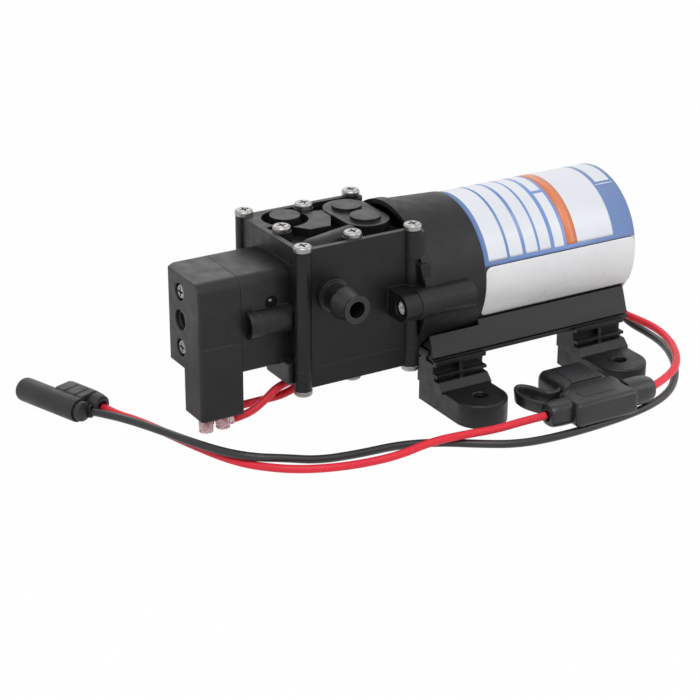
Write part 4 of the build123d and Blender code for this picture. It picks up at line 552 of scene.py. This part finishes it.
# Two-pole plug: a long barrel, a shorter barrel beside it with a stepped top, and wire mouths
plug_place = Matrix.Translation((-145.3, 25.9, 0)) @ Matrix.Rotation(math.radians(19.6), 4, "Z")
barrel_sides = (-4.1, 4.3, 0.0, 8.2)
barrel_rings = box_rings(1, barrel_sides, ((21.5, 1.0, 3.1), (27.6, 1.0, 3.1)))
barrel_rings += end_rings(1, 28.0, -1, barrel_sides, 1.9, 4.1)
barrel_rings += box_rings(1, barrel_sides, ((0.5, 0.0, 4.1), (0.1, 0.12, 3.9), (0.0, 0.45, 3.6),
                                            (0.6, 0.55, 3.5)))
plug_shell = loft("plug_shell_shape", barrel_rings, looks["plug_plastic"], "pump",
                  plug_place)
side_sides = (3.2, 11.2, 0.25, 8.1)
side_rings = [box_ring(1, 13.6, (3.2, 10.2, 1.0, 8.1), 0.4, 2.4)]
side_rings += box_rings(1, side_sides, (
    (12.9, 0.0, 3.2), (1.6, 0.0, 3.4), (-1.6, 0.2, 3.6), (-3.1, 0.6, 3.2), (-3.5, 1.2, 2.6),
    (-3.5, 2.1, 1.9), (-2.2, 2.2, 1.8)))
plug_side = loft("plug_side_shape", side_rings, looks["plug_plastic"], "pump",
                 plug_place)
web_rings = box_rings(1, (0.9, 8.9, 4.0, 8.45), (
    (13.8, 0.7, 1.0), (12.9, 0.0, 1.4), (0.6, 0.0, 1.4), (0.2, 0.4, 1.0)))
plug_web = loft("plug_top_shape", web_rings, looks["plug_plastic"], "pump",
                plug_place)
seat_rings = box_rings(1, (-3.2, 3.7, 0.65, 7.55), (
    (0.8, 0.0, 3.45), (-1.5, 0.0, 3.45), (-1.9, 0.2, 3.2), (-2.1, 0.7, 2.8)))
plug_seat = loft("plug_seat_shape", seat_rings, looks["plug_plastic"], "pump",
                 plug_place)
gland_turn = Matrix.Rotation(math.radians(12.0), 4, "Z")
gland_place = plug_place @ Matrix.Translation((2.9, 0.0, 3.5)) @ gland_turn
gland_rings = [rounded_ring(1, at, -half_width, half_width, -half_height, half_height, 1.2)
               for at, half_width, half_height in (
                   (-1.2, 1.9, 2.3), (-2.6, 1.9, 2.2), (-2.9, 1.55, 1.7), (-1.9, 1.5, 1.5))]
plug_gland = loft("plug_gland_shape", gland_rings, looks["head_plastic"], "pump",
                  gland_place)
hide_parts("plug_shell")
# Dark lines on the plug top: painted shade of its grooves.
for step, near in enumerate((3.4, 8.3)):
    line = [(plug_place @ Vector((x, near + rise, 0))).to_2d() for x, rise in
            ((1.7, 0.7), (2.2, 0.15), (3.0, 0.0), (7.6, 0.1))]
    groove_line("plug_line_%d" % (step + 1), line, 0.75, 8.47, painted_shade,
                                  "pump")
pin_rings = [round_ring(1, y, 0.0, 0.0, 1.2) for y in (0.0, 5.0)]
plug_pins = [loft("plug_pin_%d" % (step + 1), pin_rings, looks["brass"], "pump",
                  plug_place @ Matrix.Translation((x, 20.8, 4.1)))
             for step, x in enumerate((-1.5, 1.7))]
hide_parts("plug_contacts")

# The cords themselves
switch_wires = [cord("switch_wire_%d" % (step + 1), route, looks["wire_red"])
                for step, route in enumerate(switch_wire_routes)]
black_lead = cord("black_lead_line", black_route, looks["wire_black"])
red_motor = cord("red_lead_to_fuse", red_motor_route, looks["wire_red"])
red_plug = cord("red_lead_to_plug", red_plug_route, looks["wire_red"])
for obj in (*switch_wires, red_motor, red_plug):
    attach(obj, "pump")
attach(black_lead, "pump")
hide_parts("switch_wires")
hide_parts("black_lead")
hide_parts("red_lead_motor")
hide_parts("red_lead_plug")


# Switch: filled hollows beside the screw bosses, open-ended boss sleeves with discs of painted
# shade in them, and a disc of painted shade over the sunk neck screw
switch_half_width = 13.5
joint_x, joint_half_gap = -104.9, 0.06
boss_z = 40
hollow_x, hollow_radius = -104.0, 5.6
for side, facing in flanks:
    face_y = facing * switch_half_width
    for part, low_x, high_x in (("cover", -109.6, joint_x - joint_half_gap),
                                ("housing", joint_x + joint_half_gap, -98.4)):
        forward = [low_x + (high_x - low_x) * step / 12 for step in range(13)]
        backward = [high_x - (high_x - low_x) * step / 12 for step in range(13)]
        arc = [(x, boss_z + sign * math.sqrt(max(hollow_radius ** 2 - (x - hollow_x) ** 2, 0.0)))
               for sign, xs in ((1, forward), (-1, backward)) for x in xs]
        rings = [[(x, face_y + facing * offset, z) for x, z in arc] for offset in (0.012, -2.6)]
        loft("switch_fill_%s_%s" % (part, side), rings, looks["switch_plate"], "pump")
    rings = sleeve_rings((-103.3, -97.4), facing, switch_half_width, boss_z, 4.72, 3.2, 0, 180)
    loft("switch_sleeve_%s" % side, rings, looks["switch_plastic"], "pump",
         soften=0.35)
    # Dark discs inside the boss sleeves: painted shade in their hollows.
    rings = [round_ring(0, x, face_y, boss_z, 3.3) for x in (-101.2, -100.6)]
    loft("switch_shade_%s" % side, rings, painted_shade, "pump")
# A dark disc over the neck screw's head as painted shade of its hole, with a small steel patch
# where the glint shows.
hole_rings = [round_ring(1, y, -94.0, 46.2, 2.15) for y in (-13.45, -13.56)]
loft("neck_screw_painted_shade", hole_rings, painted_shade, "pump")
glint_rings = [rounded_ring(1, y, -95.1, -94.0, 46.6, 47.4, 0.4) for y in (-13.5, -13.6)]
loft("neck_screw_glint", glint_rings, looks["screw_steel"], "pump")

# Raised sleeves on the clamp bosses, and grommets where the leads leave the motor
for side, facing in flanks:
    rings = sleeve_rings((-48.3, -41.3), facing, 27.3, shaft_height, 5.02, 4.5, -18, 198)
    loft("clamp_sleeve_%s" % side, rings, looks["adapter_plastic"], "pump",
         soften=0.2)
for name, y, z in (("black", 6.0, 22.0), ("red", -3.0, 22.1)):
    rings = [round_ring(0, x, y, z, radius)
             for x, radius in ((42.0, 2.2), (44.2, 2.2), (44.9, 1.9), (45.0, 1.6))]
    loft("grommet_%s" % name, rings, looks["valve_rubber"], "pump")

# Beside each right column of the head: a small slanted fin, and a wider upper part of the column
column_x, column_radius = -45.0, 2.95
fin_outline = [(-45.2, 53.0), (-41.6, 53.0), (-40.6, 44.8), (-43.3, 44.8)]
for side, facing in flanks:
    rings = [[(x, facing * y, z) for x, z in fin_outline] for y in (19.0, 25.2)]
    loft("adapter_fin_%s" % side, rings, looks["adapter_plastic"], "pump",
         soften=0.15)
    column_y = facing * 19.6
    rings = [rounded_ring(2, z, column_x - column_radius, column_x + column_radius + 1.2,
                          column_y - column_radius, column_y + column_radius, column_radius - 0.05)
             for z in (53.9, 63.2)]
    loft("adapter_lug_%s" % side, rings, looks["adapter_plastic"], "pump",
         soften=0.2)

# Pressure spring: a free copy of the solid one's mesh
spring = nodes["pressure_spring"].copy()
spring.name = "pressure_spring_shape"
spring.data = spring.data.copy()
for key in list(spring.keys()):
    del spring[key]
bpy.context.view_layer.update()
spring.parent = None
spring.matrix_world = nodes["pressure_spring"].matrix_world.copy()
bpy.context.collection.objects.link(spring)
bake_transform(spring)
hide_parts("pressure_spring")


# Feet: the wide sink round each hole filled level
hole_x, hole_y = 29.0, 38.0
for name, body, facing_x, facing_y in (
        ("front_left", "foot_fl", -1, -1), ("front_right", "foot_fr", 1, -1),
        ("rear_left", "foot_rl", -1, 1), ("rear_right", "foot_rr", 1, 1)):
    rings = [round_ring(2, z, facing_x * hole_x, facing_y * hole_y, radius, 8)
             for z, radius in ((7.1, 2.4), (7.1, 4.25), (8.212, 4.25), (8.212, 2.7), (7.9, 2.4))]
    loft("foot_ring_%s" % name, rings, looks["foot_patch"], body, hollow=True)


# Label on the motor: a blue film with bare panels and a band, and a pale bare plate below it
def wrapped_patch(name, low_x, high_x, low_angle, high_angle, lift, corner, material, columns=40):
    """A thin film on the can, between two x places and two angles up from the front."""
    radius = can_radius + lift
    low_arc = math.radians(low_angle) * radius
    high_arc = math.radians(high_angle) * radius
    stations = []
    if corner:
        for step in range(7):
            angle = math.radians(15 * step)
            stations.append((low_x + corner * (1 - math.cos(angle)),
                             corner * (1 - math.sin(angle))))
        stations += [(high_x - (x - low_x), inset) for x, inset in reversed(stations)]
    else:
        stations = [(low_x, 0), (high_x, 0)]
    vertices = []
    for x, inset in stations:
        for row in range(columns + 1):
            arc = low_arc + inset + (high_arc - low_arc - 2 * inset) * row / columns
            angle = arc / radius
            vertices.append(Vector((x, -radius * math.cos(angle),
                                    shaft_height + radius * math.sin(angle))) * mm)
    faces = []
    for column in range(len(stations) - 1):
        for row in range(columns):
            corner_index = column * (columns + 1) + row
            faces.append((corner_index, corner_index + 1, corner_index + columns + 2,
                          corner_index + columns + 1))
    patch = mesh_object(name, vertices, faces, material)
    solid = patch.modifiers.new("film", "SOLIDIFY")
    solid.thickness = film_thickness * mm
    solid.offset = -1
    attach(patch, "pump")


def film(name, colour, gloss, coat):
    """Printed plastic film with faint unevenness."""
    return moulded(name, colour, gloss, 0.05, grain=900.0, grain_depth=0.006, mottle=0.035,
                   mottle_scale=45.0, edge=0.08, coat=coat)


film_blue = film("film_blue", (0.2, 0.325, 0.68), 0.35, 0.3)
film_white = film("film_white", (0.85, 0.875, 0.93), 0.35, 0.3)
film_orange = film("film_orange", (0.84, 0.24, 0.09), 0.35, 0.3)
film_silver = film("film_silver", (0.89, 0.89, 0.9), 0.3, 0.2)
base_lift, print_lift = 0.08, 0.1
panel_corner = 0.35
low_edge, high_edge = 18.0, 150.0
wrapped_patch("label_blue", -18.6, 44.1, 14.4, 172, base_lift, 0.0, film_blue, 90)
panels = [(-16.7, -9.3, low_edge, high_edge, 60), (-8.2, -2.9, low_edge, high_edge, 60),
          (-1.5, 3.3, low_edge, high_edge, 60), (4.3, 8.7, low_edge, high_edge, 60),
          (10.3, 14.2, low_edge, 68.0, 60), (19.8, 35.0, low_edge, high_edge, 60),
          (10.3, 14.2, 71, high_edge, 40), (36.6, 42.6, 67.0, 110.0, 30)]
for step, (low_x, high_x, low_angle, high_angle, columns) in enumerate(panels):
    wrapped_patch("label_panel_%d" % (step + 1), low_x, high_x, low_angle, high_angle, print_lift,
                  panel_corner, film_white, columns)
wrapped_patch("label_line", 35.9, 43.2, 63.6, 64.6, print_lift, 0.0, film_white, 4)
wrapped_patch("label_band", 15.4, 19.8, low_edge, high_edge, print_lift, 0.0, film_orange, 60)
wrapped_patch("label_plate", -18.3, 44.1, -31.0, 13.7, print_lift, 2.4, film_silver, 40)


# Floor, world and lamps. The camera sees floor and world as white, whatever light they give.
def seen_rays(tree):
    """One for rays of the camera, of mirror images and through clear pieces, or else nought."""
    path = tree.nodes.new("ShaderNodeLightPath")
    seen = calculate(tree, "MAXIMUM", path.outputs["Is Camera Ray"], path.outputs["Is Glossy Ray"])
    return calculate(tree, "MAXIMUM", seen, path.outputs["Is Transmission Ray"])


def mix_shaders(tree, share, first, second, output):
    """Two shaders mixed by a share, as the surface of an output node."""
    mixer = tree.nodes.new("ShaderNodeMixShader")
    tree.links.new(share, mixer.inputs["Fac"])
    tree.links.new(first, mixer.inputs[1])
    tree.links.new(second, mixer.inputs[2])
    tree.links.new(mixer.outputs["Shader"], tree.nodes[output].inputs["Surface"])


def floor_material(name, colour, glow):
    """White ground that shows pale to the camera and keeps a faint shadow."""
    material, tree, surface = shader(name)
    place = place_of(tree)
    shade = blend_colours(tree, spread(tree, noise(tree, place, 9.0), 0, 1), colour,
                          tuple(part * 0.985 for part in colour))
    tree.links.new(shade, surface.inputs["Base Color"])
    surface.inputs["Roughness"].default_value = 0.9
    surface.inputs["Specular IOR Level"].default_value = 0.0
    emission = tree.nodes.new("ShaderNodeEmission")
    emission.inputs["Color"].default_value = (1, 1, 1, 1)
    mix_shaders(tree, calculate(tree, "MULTIPLY", seen_rays(tree), glow), surface.outputs["BSDF"],
                emission.outputs["Emission"], "Material Output")
    return material


floor_reach = 3.0
floor_drop = 0.0002
floor = mesh_object("floor", [Vector((x * floor_reach, y * floor_reach, -floor_drop)) for x, y in
                              ((-1, -1), (1, -1), (1, 1), (-1, 1))], [(0, 1, 2, 3)],
                    floor_material("floor_white", (0.9, 0.9, 0.9), 0.985), smooth=False)

world = bpy.data.worlds.new("studio")
bpy.context.scene.world = world
world.use_nodes = True
sky = world.node_tree
ambient = sky.nodes["Background"]
ambient.inputs["Color"].default_value = (0.97, 0.985, 1.0, 1)
ambient.inputs["Strength"].default_value = 0.42
shown = sky.nodes.new("ShaderNodeBackground")
shown.inputs["Color"].default_value = (1, 1, 1, 1)
shown.inputs["Strength"].default_value = 1.0
mix_shaders(sky, seen_rays(sky), ambient.outputs["Background"], shown.outputs["Background"],
            "World Output")


lamp_target = Vector((-0.03, 0, 0.03))


def softbox(name, place, size, power):
    """A square area lamp that looks at the middle of the pump."""
    lamp = bpy.data.lights.new(name, "AREA")
    lamp.shape = "SQUARE"
    lamp.size = size
    lamp.energy = power
    obj = bpy.data.objects.new(name, lamp)
    bpy.context.collection.objects.link(obj)
    obj.location = place
    aim = lamp_target - Vector(place)
    obj.rotation_euler = aim.to_track_quat("-Z", "Y").to_euler()


softbox("key_lamp", (-0.35, -0.5, 0.9), 0.7, 4.6)
softbox("side_lamp", (0.8, -0.5, 0.5), 0.6, 2.0)
softbox("back_lamp", (0.2, 0.8, 0.7), 0.6, 1.5)
